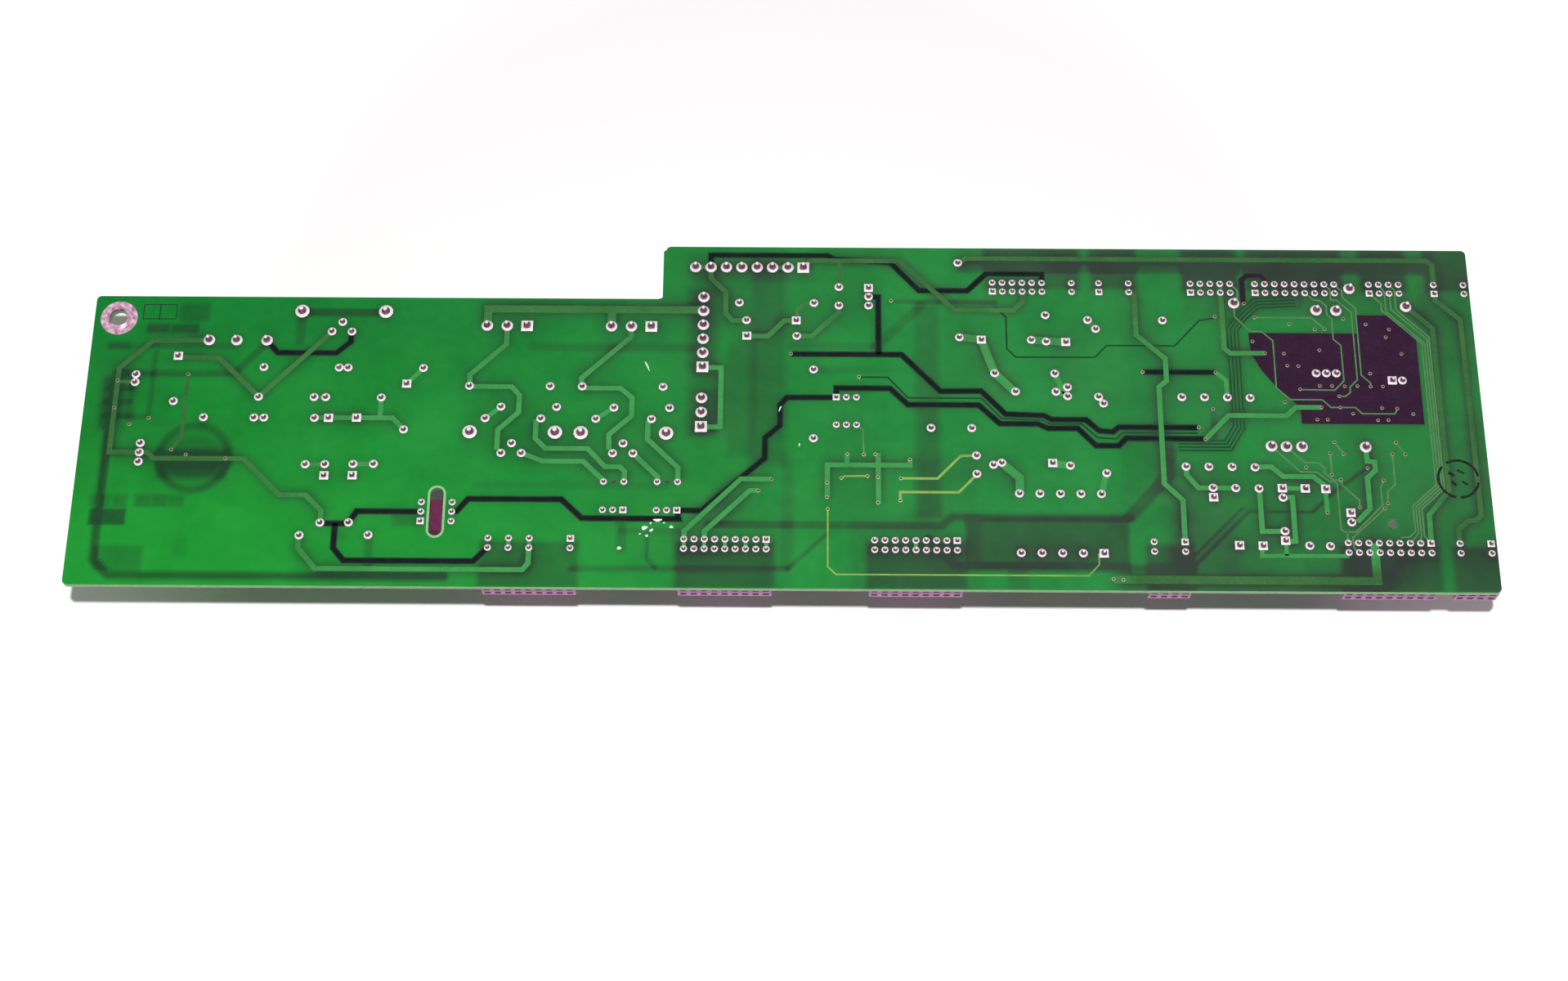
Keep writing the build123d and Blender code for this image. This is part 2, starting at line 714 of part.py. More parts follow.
# Each chip: place, turn, and whether its second row lacks the middle leg. Its very first pad is square
chip_rows = [
    (chip_one_shares, quarter_turn, False),
    (chip_two_shares, half_turn, True),
    (chip_three_shares, half_turn, True),
    (chip_four_shares, 0, False),
]
chip_places = []
chip_leg_places = []
for shares, turn, missing in chip_rows:
    place = spot(shares, seat, turn)
    chip_places.append(place)
    pad_place = spot(shares, joint_base, turn)
    for column in range(3):
        shift = column_offset(column, 3)
        rear_pad = pad_place * Location((shift, chip_row_span / 2, 0))
        front_pad = pad_place * Location((shift, -chip_row_span / 2, 0))
        chip_leg_places.append(place * Location((shift, 0, 0)))
        if column == 0:
            small_square_places.append(rear_pad)
        else:
            small_round_places.append(rear_pad)
        if not (missing and column == 1):
            chip_leg_places.append(place * Location((shift, 0, 0), (0, 0, half_turn)))
            small_round_places.append(front_pad)

chip_bodies = scatter([(chip_body.part, chip_places)])
chip_bodies.part.label = "chip_bodies"
export_step(chip_bodies.part, "parts/chip_bodies.step")

chip_legs = scatter([(chip_leg.part, chip_leg_places)])
chip_legs.part.label = "chip_legs"
export_step(chip_legs.part, "parts/chip_legs.step")

# Transformer: two pin rails, a core with two windows, and the winding around its middle leg
transformer_place = spot(transformer_shares, seat)
rail_sides = [transformer_row_span / 2, -transformer_row_span / 2]
with BuildPart() as transformer_bobbin:
    with BuildSketch(Plane(transformer_place)):
        with Locations(*[(0, side) for side in rail_sides]):
            Rectangle(bobbin_length, bobbin_rail_width)
    extrude(amount=-bobbin_rail_height)
transformer_bobbin.part.label = "transformer_bobbin"
export_step(transformer_bobbin.part, "parts/transformer_bobbin.step")

window_middle = centre_leg_width / 2 + window_width / 2
core_place = transformer_place * Location((0, 0, -core_drop))
with BuildPart() as transformer_core:
    with BuildSketch(Plane(core_place)):
        Rectangle(core_length, core_depth)
        with Locations((0, window_middle), (0, -window_middle)):
            Rectangle(window_length, window_width, mode=Mode.SUBTRACT)
    extrude(amount=-core_height)
transformer_core.part.label = "transformer_core"
export_step(transformer_core.part, "parts/transformer_core.step")

winding_drop = bobbin_rail_height
winding_place = spot(transformer_shares, 0) * Location((-winding_length / 2, 0, 0))
with BuildPart() as transformer_winding:
    with BuildSketch(Plane(winding_place.position, x_dir=(0, 1, 0), z_dir=(1, 0, 0))):
        with Locations((0, (seat - winding_drop) / 2)):
            Rectangle(winding_depth, seat - winding_drop)
        with Locations((0, seat - core_drop - core_height / 2)):
            Rectangle(centre_leg_width, core_height, mode=Mode.SUBTRACT)
    extrude(amount=winding_length)
transformer_winding.part.label = "transformer_winding"
export_step(transformer_winding.part, "parts/transformer_winding.step")

transformer_pads = []
for side in rail_sides:
    row = spot(transformer_shares, joint_base) * Location((0, side, 0))
    transformer_pads += along(row, 5, transformer_pin_pitch)

# Box capacitors, cans, crystal, choke and controller
with BuildPart() as line_capacitor:
    with Locations(spot(line_cap_shares, seat)):
        add(box_body(line_cap_length, line_cap_depth, stack_height, box_chamfer))
line_capacitor.part.label = "line_capacitor"
export_step(line_capacitor.part, "parts/line_capacitor.step")

box_capacitors = scatter([
    (box_body(wide_cap_length, box_cap_depth, wide_cap_height, box_chamfer), [spot(wide_cap_shares, seat)]),
    (box_body(mid_cap_length, box_cap_depth, wide_cap_height, box_chamfer),
     [spot(shares, seat) for shares in mid_cap_shares]),
    (box_body(small_cap_length, box_cap_depth, small_cap_height, box_chamfer),
     [spot(small_cap_shares, seat, quarter_turn)]),
    (box_body(disc_length, box_cap_depth, small_cap_height, box_chamfer),
     [spot(disc_shares, seat, quarter_turn)]),
    (box_body(bead_length, box_cap_depth, bead_height, box_chamfer), [spot(bead_shares, seat, quarter_turn)]),
])
box_capacitors.part.label = "box_capacitors"
export_step(box_capacitors.part, "parts/box_capacitors.step")

with BuildPart() as can:
    with BuildSketch():
        RegularPolygon(can_diameter / 2, can_sides)
    extrude(amount=-can_height)
can_places = [spot(shares, seat, -quarter_turn) for shares in can_front_shares]
can_places += [spot(shares, seat, quarter_turn) for shares in can_rear_shares]
can_places.append(spot(can_along_shares, seat, half_turn))
can_capacitors = scatter([(can.part, can_places)])
can_capacitors.part.label = "can_capacitors"
export_step(can_capacitors.part, "parts/can_capacitors.step")

with BuildPart() as crystal:
    with Locations(spot(crystal_shares, seat, quarter_turn)):
        add(box_body(crystal_length, crystal_depth, crystal_height, crystal_corner))
crystal.part.label = "crystal"
export_step(crystal.part, "parts/crystal.step")

with BuildPart() as choke:
    with BuildSketch(Plane(spot(choke_shares, seat))):
        RegularPolygon(choke_diameter / 2, 2 * joint_sides)
        RegularPolygon(choke_bore / 2, 2 * joint_sides, mode=Mode.SUBTRACT)
    extrude(amount=-choke_height)
choke.part.label = "choke"
export_step(choke.part, "parts/choke.step")

with BuildPart() as controller:
    with Locations(spot(controller_shares, seat - controller_standoff)):
        add(box_body(controller_width, controller_width, controller_height, controller_corner))
controller.part.label = "controller"
export_step(controller.part, "parts/controller.step")

# Axial parts
resistor_places = [spot(shares, seat) for shares in resistor_along_shares]
resistor_places += [spot(shares, seat, quarter_turn) for shares in resistor_across_shares]
half_watt_places = [spot(shares, seat) for shares in half_watt_shares]
quarter_watt_places = [spot(shares, seat) for shares in quarter_watt_shares]
two_watt_places = [spot(shares, seat) for shares in two_watt_shares]
power_places = [spot(shares, seat) for shares in power_along_shares]
thin_lead_places = [spot(power_across_shares, seat, quarter_turn)]
diode_places = [spot(shares, seat) for shares in diode_right_shares]
diode_places += [spot(shares, seat, half_turn) for shares in diode_left_shares]
diode_places += [spot(shares, seat, quarter_turn) for shares in diode_rear_shares]
rectifier_places = [spot(shares, seat, -quarter_turn) for shares in rectifier_front_shares]
rectifier_places += [spot(shares, seat, quarter_turn) for shares in rectifier_rear_shares]

resistors = scatter([
    (axial_body(resistor_length, resistor_diameter), resistor_places),
    (axial_body(half_watt_length, half_watt_diameter), half_watt_places),
    (axial_body(quarter_watt_length, quarter_watt_diameter), quarter_watt_places),
    (axial_body(two_watt_length, two_watt_diameter), two_watt_places),
])
resistors.part.label = "resistors"
export_step(resistors.part, "parts/resistors.step")

power_resistors = scatter([(axial_body(power_length, power_diameter), power_places + thin_lead_places)])
power_resistors.part.label = "power_resistors"
export_step(power_resistors.part, "parts/power_resistors.step")

diodes = scatter([
    (axial_body(diode_length, diode_diameter), diode_places),
    (axial_body(rectifier_length, rectifier_diameter), rectifier_places),
])
diodes.part.label = "diodes"
export_step(diodes.part, "parts/diodes.step")

# Small transistors
with BuildPart() as transistor:
    with BuildSketch():
        RegularPolygon(transistor_diameter / 2, body_sides, rotation=half_turn / body_sides)
        with Locations((0, -transistor_flat)):
            flat_side = (Align.CENTER, Align.MAX)
            Rectangle(transistor_diameter, transistor_diameter, align=flat_side, mode=Mode.SUBTRACT)
    extrude(amount=-transistor_height)
transistor_places = [spot(shares, seat) for shares in transistor_bent_shares]
transistor_places.append(spot(transistor_along_shares, seat))
transistor_places.append(spot(transistor_across_shares, seat, quarter_turn))
transistor_places.append(spot(transistor_marked_shares, seat, quarter_turn))
transistors = scatter([(transistor.part, transistor_places)])
transistors.part.label = "transistors"
export_step(transistors.part, "parts/transistors.step")

# Solder joints of the leads: round ends, and square ends that mark a cathode or a first lead
medium_round_places = []
medium_square_places = []
plain_leads = [
    (resistor_places, resistor_span),
    (half_watt_places, half_watt_span),
    (quarter_watt_places, quarter_watt_span),
    (two_watt_places, two_watt_span),
    (thin_lead_places, power_span),
    ([spot(wide_cap_shares, seat)], wide_cap_span),
    ([spot(shares, seat) for shares in mid_cap_shares], mid_cap_span),
    ([spot(small_cap_shares, seat, quarter_turn)], small_cap_span),
    ([spot(disc_shares, seat, quarter_turn)], disc_span),
    ([spot(bead_shares, seat, quarter_turn)], bead_span),
    ([spot(crystal_shares, seat, quarter_turn)], crystal_span),
]
marked_leads = [
    (diode_places, diode_span),
    (rectifier_places, rectifier_span),
    (can_places, can_span),
]
lift = Location((0, 0, joint_base - seat))
for places, span in plain_leads:
    left, right = ends(places, span)
    medium_round_places += [lift * place for place in left + right]
for places, span in marked_leads:
    left, right = ends(places, span)
    medium_round_places += [lift * place for place in left]
    medium_square_places += [lift * place for place in right]
for shares in transistor_bent_shares:
    row = spot(shares, joint_base)
    medium_round_places.append(row * Location((-transistor_pitch, 0, 0)))
    medium_round_places.append(row * Location((transistor_pitch, 0, 0)))
    medium_round_places.append(row * Location((0, transistor_rear_pin, 0)))
medium_round_places += along(spot(transistor_along_shares, joint_base), 3, transistor_pitch)
medium_round_places += along(spot(transistor_across_shares, joint_base, quarter_turn), 3, transistor_pitch)
marked_pads = along(spot(transistor_marked_shares, joint_base, quarter_turn), 3, transistor_pitch)
medium_round_places += marked_pads[:-1]
medium_square_places.append(marked_pads[-1])
medium_round_places.append(spot(test_pad_shares, joint_base))
medium_round_places += transformer_pads[:-1]
medium_square_places.append(transformer_pads[-1])

large_round_places += [spot(shares, joint_base) for shares in single_pad_shares]
line_left, line_right = ends([spot(line_cap_shares, joint_base)], line_cap_lead_span)
large_round_places += line_left + line_right
large_round_places.append(spot(line_cap_shares, joint_base) * Location((-line_cap_mid_lead, 0, 0)))
power_left, power_right = ends([lift * place for place in power_places], power_span)

small_joints = scatter([
    (round_joint(small_joint_width, small_joint_rise), small_round_places),
    (square_joint(small_joint_width, small_joint_rise), small_square_places),
])
small_joints.part.label = "small_joints"
export_step(small_joints.part, "parts/small_joints.step")

medium_joints = scatter([
    (round_joint(medium_joint_width, medium_joint_rise), medium_round_places),
    (square_joint(medium_joint_width, medium_joint_rise), medium_square_places),
])
medium_joints.part.label = "medium_joints"
export_step(medium_joints.part, "parts/medium_joints.step")

large_joints = scatter([
    (round_joint(large_joint_width, large_joint_rise), large_round_places),
    (square_joint(large_joint_width, large_joint_rise), large_square_places),
    (round_joint(power_joint_width, power_joint_rise), power_left + power_right),
])
large_joints.part.label = "large_joints"
export_step(large_joints.part, "parts/large_joints.step")
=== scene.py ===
# %% [markdown]
# # An interconnect board, solder side up
# The object is a long two-layer circuit board that lies with its parts underneath. What the eye meets is the
# solder side: a thin green mask with tracks under it, hundreds of small solder joints, and, dimly through the
# laminate, the copper and the housings of the other face. The solids come from the CAD frame. This lesson adds the
# finishes and the small things that are too fine for a solid: thin tracks, vias, solder fillets and wire leads.

# %% Load the frame
import math

import bpy
import numpy as np
from mathutils import Matrix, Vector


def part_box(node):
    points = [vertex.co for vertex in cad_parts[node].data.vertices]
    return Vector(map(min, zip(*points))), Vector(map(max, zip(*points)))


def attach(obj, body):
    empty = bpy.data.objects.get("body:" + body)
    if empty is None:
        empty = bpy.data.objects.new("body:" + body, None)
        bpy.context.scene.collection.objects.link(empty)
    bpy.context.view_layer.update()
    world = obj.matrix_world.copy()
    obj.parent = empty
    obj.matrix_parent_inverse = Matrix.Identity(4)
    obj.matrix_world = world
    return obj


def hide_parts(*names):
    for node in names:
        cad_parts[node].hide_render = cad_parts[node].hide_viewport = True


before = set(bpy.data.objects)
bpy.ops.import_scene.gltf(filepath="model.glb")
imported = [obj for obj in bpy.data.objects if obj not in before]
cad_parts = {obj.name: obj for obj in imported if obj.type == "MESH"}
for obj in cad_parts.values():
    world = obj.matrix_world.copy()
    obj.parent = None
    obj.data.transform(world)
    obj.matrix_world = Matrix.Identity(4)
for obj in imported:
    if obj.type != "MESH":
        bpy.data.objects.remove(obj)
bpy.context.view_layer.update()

print("nodes:", len(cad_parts))

# %% [markdown]
# ## Places on the board
# Every route and spot below is written in millimetres from the board's front left corner, as one would read it
# off a drawing. One function turns such a list into metres in the frame, so the frame stays the only master of
# where things are.

# %% Levels and places
MM = 0.001
board_low, board_high = (np.array(corner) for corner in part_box("board"))
BOARD_TOP = board_high[2]
UNDERSIDE = board_low[2]
board_half = (board_high[0] - board_low[0]) / 2
COPPER_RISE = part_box("solder_tracks")[1][2] - BOARD_TOP


def spots(points):
    """Each point is the board's front left corner plus its two distances in millimetres."""
    return np.array(points, dtype=float) * MM + board_low[:2]


print("board top at", round(BOARD_TOP / MM, 2), "mm, copper", round(COPPER_RISE / MM, 3), "mm")

# %% [markdown]
# ## Turning arrays into meshes
# A mesh is three lists: where the corners are, which corners make each face, and numbers that ride on the corners
# for the finish to read. Handing whole arrays to Blender is quick, and the object stays at the origin.


# %% Mesh helper
def add_piece(name, corners, quads, finish, slot, triangles=None, fields=None, smooth=True, stands_for=None):
    """A mesh from an array of corners, of quads and of triangles, with one number per corner for each field. It wears
    a finish, rides on the root and may stand for a CAD node. The slot is not used."""
    triangles = np.zeros((0, 3), int) if triangles is None else triangles
    mesh = bpy.data.meshes.new(name)
    mesh.vertices.add(corners.size // 3)
    mesh.vertices.foreach_set("co", np.ascontiguousarray(corners, dtype=np.float32).ravel())
    loops = np.concatenate([quads.ravel(), triangles.ravel()]).astype(np.int32)
    starts = np.concatenate([np.arange(len(quads)) * 4, quads.size + np.arange(len(triangles)) * 3])
    mesh.loops.add(len(loops))
    mesh.loops.foreach_set("vertex_index", loops)
    mesh.polygons.add(len(starts))
    mesh.polygons.foreach_set("loop_start", starts.astype(np.int32))
    mesh.update(calc_edges=True)
    for field, values in (fields or {}).items():
        layer = mesh.attributes.new(field, "FLOAT", "POINT")
        spread = np.broadcast_to(values, corners.shape[:-1])
        layer.data.foreach_set("value", np.ascontiguousarray(spread, dtype=np.float32).ravel())
    mesh.polygons.foreach_set("use_smooth", np.full(len(starts), smooth))
    mesh.materials.append(finish.material)
    piece = bpy.data.objects.new(name, mesh)
    bpy.context.scene.collection.objects.link(piece)
    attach(piece, "root")
    if stands_for:
        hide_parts(stands_for)
    return piece


def band_quads(rings, around, closed=True):
    """Quads between neighbouring rings of corners: ring r, step s joins (r, s), (r, s+1), (r+1, s+1), (r+1, s)."""
    ring, step = np.meshgrid(np.arange(rings - 1), np.arange(around if closed else around - 1), indexing="ij")
    after = (step + 1) % around
    quads = np.stack([ring * around + step, ring * around + after,
                      (ring + 1) * around + after, (ring + 1) * around + step], axis=-1)
    return quads.reshape(-1, 4)


def fan_quads(around):
    """Quads that close a ring, all from its first corner: (0, 1, 2, 3), (0, 3, 4, 5) and so on."""
    odd = np.arange(1, around - 1, 2)
    return np.stack([0 * odd, odd, odd + 1, odd + 2], axis=1)


def closed_quads(rings, around, first=0):
    """A closed barrel: bands from the first ring asked for to the last, a fan over that, a turned fan over ring 0."""
    bands = band_quads(rings - first, around) + first * around
    return np.concatenate([bands, fan_quads(around) + (rings - 1) * around, fan_quads(around)[:, ::-1]])


def full_turn(steps):
    """Evenly spaced angles once round a circle."""
    return np.arange(steps) * (2 * math.pi / steps)


def ring_corners(middle, reach, height, turn):
    """Corners on circles that lie flat: a middle, a reach and a height, spread over each other and over the angles."""
    x = middle[..., 0] + reach * np.cos(turn)
    y = middle[..., 1] + reach * np.sin(turn)
    return np.stack([x, y, np.broadcast_to(height, x.shape)], axis=-1)


def many(quads, corners_each, count):
    """The same quads for each of several copies, shifted by the corners of the copies before."""
    shifts = np.arange(count)[:, None, None] * corners_each
    return (quads[None] + shifts).reshape(-1, quads.shape[1])


# %% [markdown]
# ## Shader maths as Python
# A finish is an expression: how much shade, how much grain, which of two colours. One small class wraps a socket
# so that plus, minus and times add the right Math node, and one method makes every other node.


# %% Socket wrapper
class Value:
    """One number that varies over a surface."""

    def __init__(self, finish, socket):
        self.finish = finish
        self.socket = socket

    def maths(self, operation, first, second=0.0, clamp=False):
        settings = {"operation": operation, "use_clamp": clamp}
        return self.finish.node("ShaderNodeMath", settings, {0: first, 1: second})

    def __add__(self, other):
        return self.maths("ADD", self, other)

    def __radd__(self, other):
        return self.maths("ADD", other, self)

    def __sub__(self, other):
        return self.maths("SUBTRACT", self, other)

    def __rsub__(self, other):
        return self.maths("SUBTRACT", other, self)

    def __mul__(self, other):
        return self.maths("MULTIPLY", self, other)

    def __rmul__(self, other):
        return self.maths("MULTIPLY", other, self)

    def __truediv__(self, other):
        return self.maths("DIVIDE", self, other)

    def __abs__(self):
        return self.maths("ABSOLUTE", self)

    def sine(self):
        return self.maths("SINE", self)

    def limit(self):
        """The same number held between 0 and 1."""
        return self.maths("ADD", self, 0.0, clamp=True)

    def step(self, start, end):
        """0 before start, 1 after end, and a straight climb between."""
        return ((self - start) / (end - start)).limit()

    def contrast(self):
        """Blotches with their middle stretched out: 0 below 0.3 and 1 above 0.7."""
        return self.step(0.3, 0.7)


class Finish:
    """A material with one Principled shader, and the nodes that feed it."""

    def __init__(self, name, roughness=0.5, metallic=0.0, coat=0.0, gloss=0.5):
        self.material = bpy.data.materials.new(name)
        self.material.use_nodes = True
        self.tree = self.material.node_tree
        self.shader = self.tree.nodes["Principled BSDF"]
        self.shader.inputs["Roughness"].default_value = roughness
        self.shader.inputs["Metallic"].default_value = metallic
        self.shader.inputs["Coat Weight"].default_value = coat
        self.shader.inputs["Specular IOR Level"].default_value = gloss
        place = self.node("ShaderNodeTexCoord", {}, {}, "Object")
        self.place = place
        self.x = self.node("ShaderNodeSeparateXYZ", {}, {0: place}, "X")
        self.y = self.node("ShaderNodeSeparateXYZ", {}, {0: place}, "Y")
        self.z = self.node("ShaderNodeSeparateXYZ", {}, {0: place}, "Z")

    def node(self, kind, settings, sockets, output=0):
        """Any node: its settings are set first, then each socket takes a link or a plain value."""
        made = self.tree.nodes.new(kind)
        for key, setting in settings.items():
            setattr(made, key, setting)
        for key, given in sockets.items():
            if isinstance(given, Value):
                self.tree.links.new(given.socket, made.inputs[key])
            else:
                made.inputs[key].default_value = given
        return Value(self, made.outputs[output])

    def noise(self, size, detail=2.0):
        """Soft random blotches about as wide as size, from 0 to 1."""
        return self.node("ShaderNodeTexNoise", {}, {"Vector": self.place, "Scale": 1 / size, "Detail": detail}, 0)

    def field(self, name):
        """A number that rides on the mesh; 0 where the mesh has none."""
        return self.node("ShaderNodeAttribute", {"attribute_name": name}, {}, "Fac")

    def facing(self, axis):
        """How far the face looks along an axis: 1 along it, 0 sideways, -1 against it."""
        normal = self.node("ShaderNodeNewGeometry", {}, {}, "Normal")
        return self.node("ShaderNodeSeparateXYZ", {}, {0: normal}, axis)

    def blend(self, start, end, share):
        """A colour between two, by a share from 0 to 1."""
        mix = self.tree.nodes.new("ShaderNodeMix")
        mix.data_type = "RGBA"
        for socket, given in ((mix.inputs[0], share), (mix.inputs[6], start), (mix.inputs[7], end)):
            if isinstance(given, Value):
                self.tree.links.new(given.socket, socket)
            else:
                socket.default_value = given
        return Value(self, mix.outputs[2])

    def tones(self, dark, light, share):
        """A colour between two that are written as on a screen."""
        return self.blend(shade(*dark), shade(*light), share)

    def set(self, **sockets):
        """Feeds the shader's own sockets, named with _ for a space."""
        for key, given in sockets.items():
            socket = self.shader.inputs[key.replace("_", " ")]
            if isinstance(given, Value):
                self.tree.links.new(given.socket, socket)
            else:
                socket.default_value = given
        return self

    def bump(self, height, distance, strength=1.0):
        """Small relief that the light reads but the outline doesn't."""
        self.set(Normal=self.node("ShaderNodeBump", {}, {"Height": height, "Distance": distance,
                                                        "Strength": strength}, 0))
        return self


def shade(red, green, blue):
    """A colour written as on a screen, 0 to 255, turned into the linear numbers that Blender uses."""
    parts = np.array([red, green, blue]) / 255
    linear = np.where(parts <= 0.04045, parts / 12.92, ((parts + 0.055) / 1.055) ** 2.4)
    return (*linear.tolist(), 1.0)


def lacquered(name):
    """The start of every finish under the mask: a smooth lacquer that mirrors little."""
    return Finish(name, roughness=0.22, gloss=0.06)


def dress(finish, *nodes):
    """Gives CAD nodes a finish in place of their plain one."""
    for node in nodes:
        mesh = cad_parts[node].data
        mesh.materials.clear()
        mesh.materials.append(finish.material)


print("shader helpers ready")

# %% [markdown]
# ## Green mask over laminate
# The mask is a thin green lacquer, and the laminate under it lets light through. Where nothing lies beneath, the
# white table makes it glow; over a housing or a plane it goes deep green. The mesh carries that as a number called
# under, so the finish only mixes from clear to deep, adds faint blotches and the weave of the glass cloth, and
# turns pale on the cut edge, where the bare glass shows.

# %% Mask finish
mask = lacquered("green_mask")
WEAVE = 0.7 * MM
weave = (mask.x * (2 * math.pi / WEAVE)).sine() * (mask.y * (2 * math.pi / WEAVE)).sine()
blotch = (mask.noise(16 * MM) * 0.7 + mask.noise(3 * MM) * 0.3).contrast()
rightward = (mask.x / board_half).step(-0.8, 0.3)
rearward = (mask.y / (board_high[1] - board_low[1])).step(-0.35, 0.3)
clear_front = mask.tones((24, 140, 46), (36, 154, 54), blotch)
clear_rear = mask.tones((14, 116, 44), (26, 132, 54), blotch)
clear_left = mask.blend(clear_front, clear_rear, rearward)
clear_right = mask.tones((34, 126, 58), (46, 140, 68), blotch)
deep_left = mask.tones((26, 54, 36), (34, 68, 44), blotch)
deep_right = mask.tones((46, 56, 50), (54, 68, 58), blotch)
clear = mask.blend(clear_left, clear_right, rightward)
deep = mask.blend(deep_left, deep_right, rightward)
cloud = mask.noise(22 * MM, 1.0)
under = (mask.field("under") + weave * 0.02 + (cloud - 0.5) * (0.1 + 0.5 * rightward)).limit()
green = mask.blend(clear, deep, under)
pale = mask.tones((124, 174, 122), (178, 210, 164), mask.noise(1.5 * MM))
edge = 1 - abs(mask.facing("Z")).step(0.3, 0.6)
mask.set(Base_Color=mask.blend(green, pale, edge), Roughness=0.17 + mask.noise(5 * MM) * 0.1)
mask.bump(weave, 0.004 * MM, 0.5)
dress(mask, "board")
print("mask finish on the board")

# %% [markdown]
# ## What shows through the laminate
# A film of the same green mask lies on the board's top face to carry painted shade. As a grid of small squares it
# can carry, at each corner, how dark the other face makes it. Each hidden housing darkens a soft box, each soft copper
# run a soft line, and the shares add up. The distance to a box or to a line is plain arithmetic on whole arrays.

# %% Film over the solder side
FILM_STEP = 0.7 * MM
FILM_INSET = 0.04 * MM
FILM_RISE = 0.012 * MM
DARKEST = 0.95
NARROW_LENGTH = 145.65 * MM
NARROW_DEPTH = 79.2 * MM
board_size = board_high - board_low


def even_steps(*stops):
    """Even steps of about one film step between the stops, with every stop among them."""
    runs = [np.linspace(low, high, round((high - low) / FILM_STEP) + 1) for low, high in zip(stops[:-1], stops[1:])]
    return np.concatenate([runs[0]] + [run[1:] for run in runs[1:]])


across = board_low[0] + even_steps(FILM_INSET, NARROW_LENGTH + FILM_INSET, board_size[0] - FILM_INSET)
deepwise = board_low[1] + even_steps(FILM_INSET, NARROW_DEPTH - FILM_INSET, board_size[1] - FILM_INSET)
grid_x, grid_y = np.meshgrid(across, deepwise)


def soft_box(x, y, box, feather):
    """1 inside the box, 0 a feather outside it: one minus the larger overshoot, divided by the feather."""
    low, high = spots([box[:2], box[2:]])
    out_x = np.maximum(low[0] - x, x - high[0])
    out_y = np.maximum(low[1] - y, y - high[1])
    return np.clip(1 - np.maximum(np.maximum(out_x, out_y), 0) / (feather * MM), 0, 1)


def near_line(x, y, route):
    """Distance from each place to a route: the least distance to any of its straight runs."""
    ends = spots(route)
    best = np.full(x.shape, np.inf)
    for start, end in zip(ends[:-1], ends[1:]):
        run = end - start
        along = np.clip(((x - start[0]) * run[0] + (y - start[1]) * run[1]) / (run @ run), 0, 1)
        best = np.minimum(best, np.hypot(x - start[0] - along * run[0], y - start[1] - along * run[1]))
    return best


def soft_line(x, y, route, width, feather):
    """1 within half the width of the route, 0 a feather further out."""
    return np.clip(1 - (near_line(x, y, route) - width * MM / 2) / (feather * MM), 0, 1)


# Soft boxes of painted shade over the hidden face: left, front, right, rear, feather and how dark
SOFT_BOXES = [
    (22.2, 72.5, 28.9, 76.8, 0.9, 0.45), (13.9, 69, 19, 71, 0.7, 0.7), (20, 69, 26.7, 71, 0.7, 0.65),
    (5, 16.2, 13.3, 19.8, 0.8, 0.8),
    (4.6, 21.2, 5.8, 23.5, 0.7, 0.4), (7.0, 21, 9.2, 23.6, 0.7, 0.36), (10.3, 21, 13.2, 23.6, 0.7, 0.4),
    (15.8, 21, 19.4, 23.6, 0.7, 0.42), (20.3, 21, 23.6, 23.6, 0.7, 0.46), (24.6, 21, 27.6, 23.6, 0.7, 0.36),
    (7.6, 4.2, 18.4, 9.8, 1.0, 0.38), (4.8, 64.2, 9.6, 66, 0.8, 0.3),
    (26.5, 8, 29.2, 12, 1.0, 0.15), (80, 16.2, 87, 18.8, 0.9, 0.35), (21, 29.5, 36.5, 34.8, 2.0, 0.35),
    (19, 24.5, 38.5, 43.5, 3.5, 0.12), (4.5, 43, 20.8, 61, 2.0, 0.12), (0, 26, 10, 64, 4.0, 0.12),
    (98, 36, 113, 49, 4.0, 0.1), (150.5, 0, 177, 23, 3.0, 0.16), (194, 0, 224, 18.5, 2.5, 0.2),
    (221.7, 5.5, 261, 19, 1.0, 0.62), (232, 0.5, 236, 5.5, 1.0, 0.3), (169, 34, 175.5, 92, 2.5, 0.36),
    (163, 36, 168, 66, 2.0, 0.3), (176.3, 6, 178.3, 36, 1.2, 0.2), (153.5, 42, 158, 87, 2.5, 0.24),
    (210, 20, 214.6, 77, 1.8, 0.38), (211, 19.5, 223, 34, 3.0, 0.18), (145, 60, 169, 92, 5.0, 0.08),
    (191, 21.5, 198, 30, 2.0, 0.12), (221, 87.8, 341, 90.8, 1.0, 0.5), (150, 30, 176, 60, 6.0, 0.08),
    (262, 0, 352, 94.4, 6.0, 0.1), (262, 27, 272, 44, 3.0, 0.18), (272, 7, 287, 20, 3.0, 0.18),
    (285, 0.5, 312, 12, 3.0, 0.1), (279, 74, 292, 89, 2.0, 0.2), (295, 76, 340, 90, 3.0, 0.14),
    (320, 0, 352, 45, 5.0, 0.06), (276, 0, 352, 30, 6.0, 0.14), (340, 45, 352, 94.4, 3.0, 0.1),
]
BUNDLE = [(307, 79.4), (297, 78.9), (293, 75.2), (290.4, 71.4), (290.4, 44), (287.4, 38.9), (275, 38.9)]
CHOKE_RING = [(29 + 8.8 * math.cos(turn), 34 + 8.8 * math.sin(turn)) for turn in np.linspace(0, 6.2832, 25)]
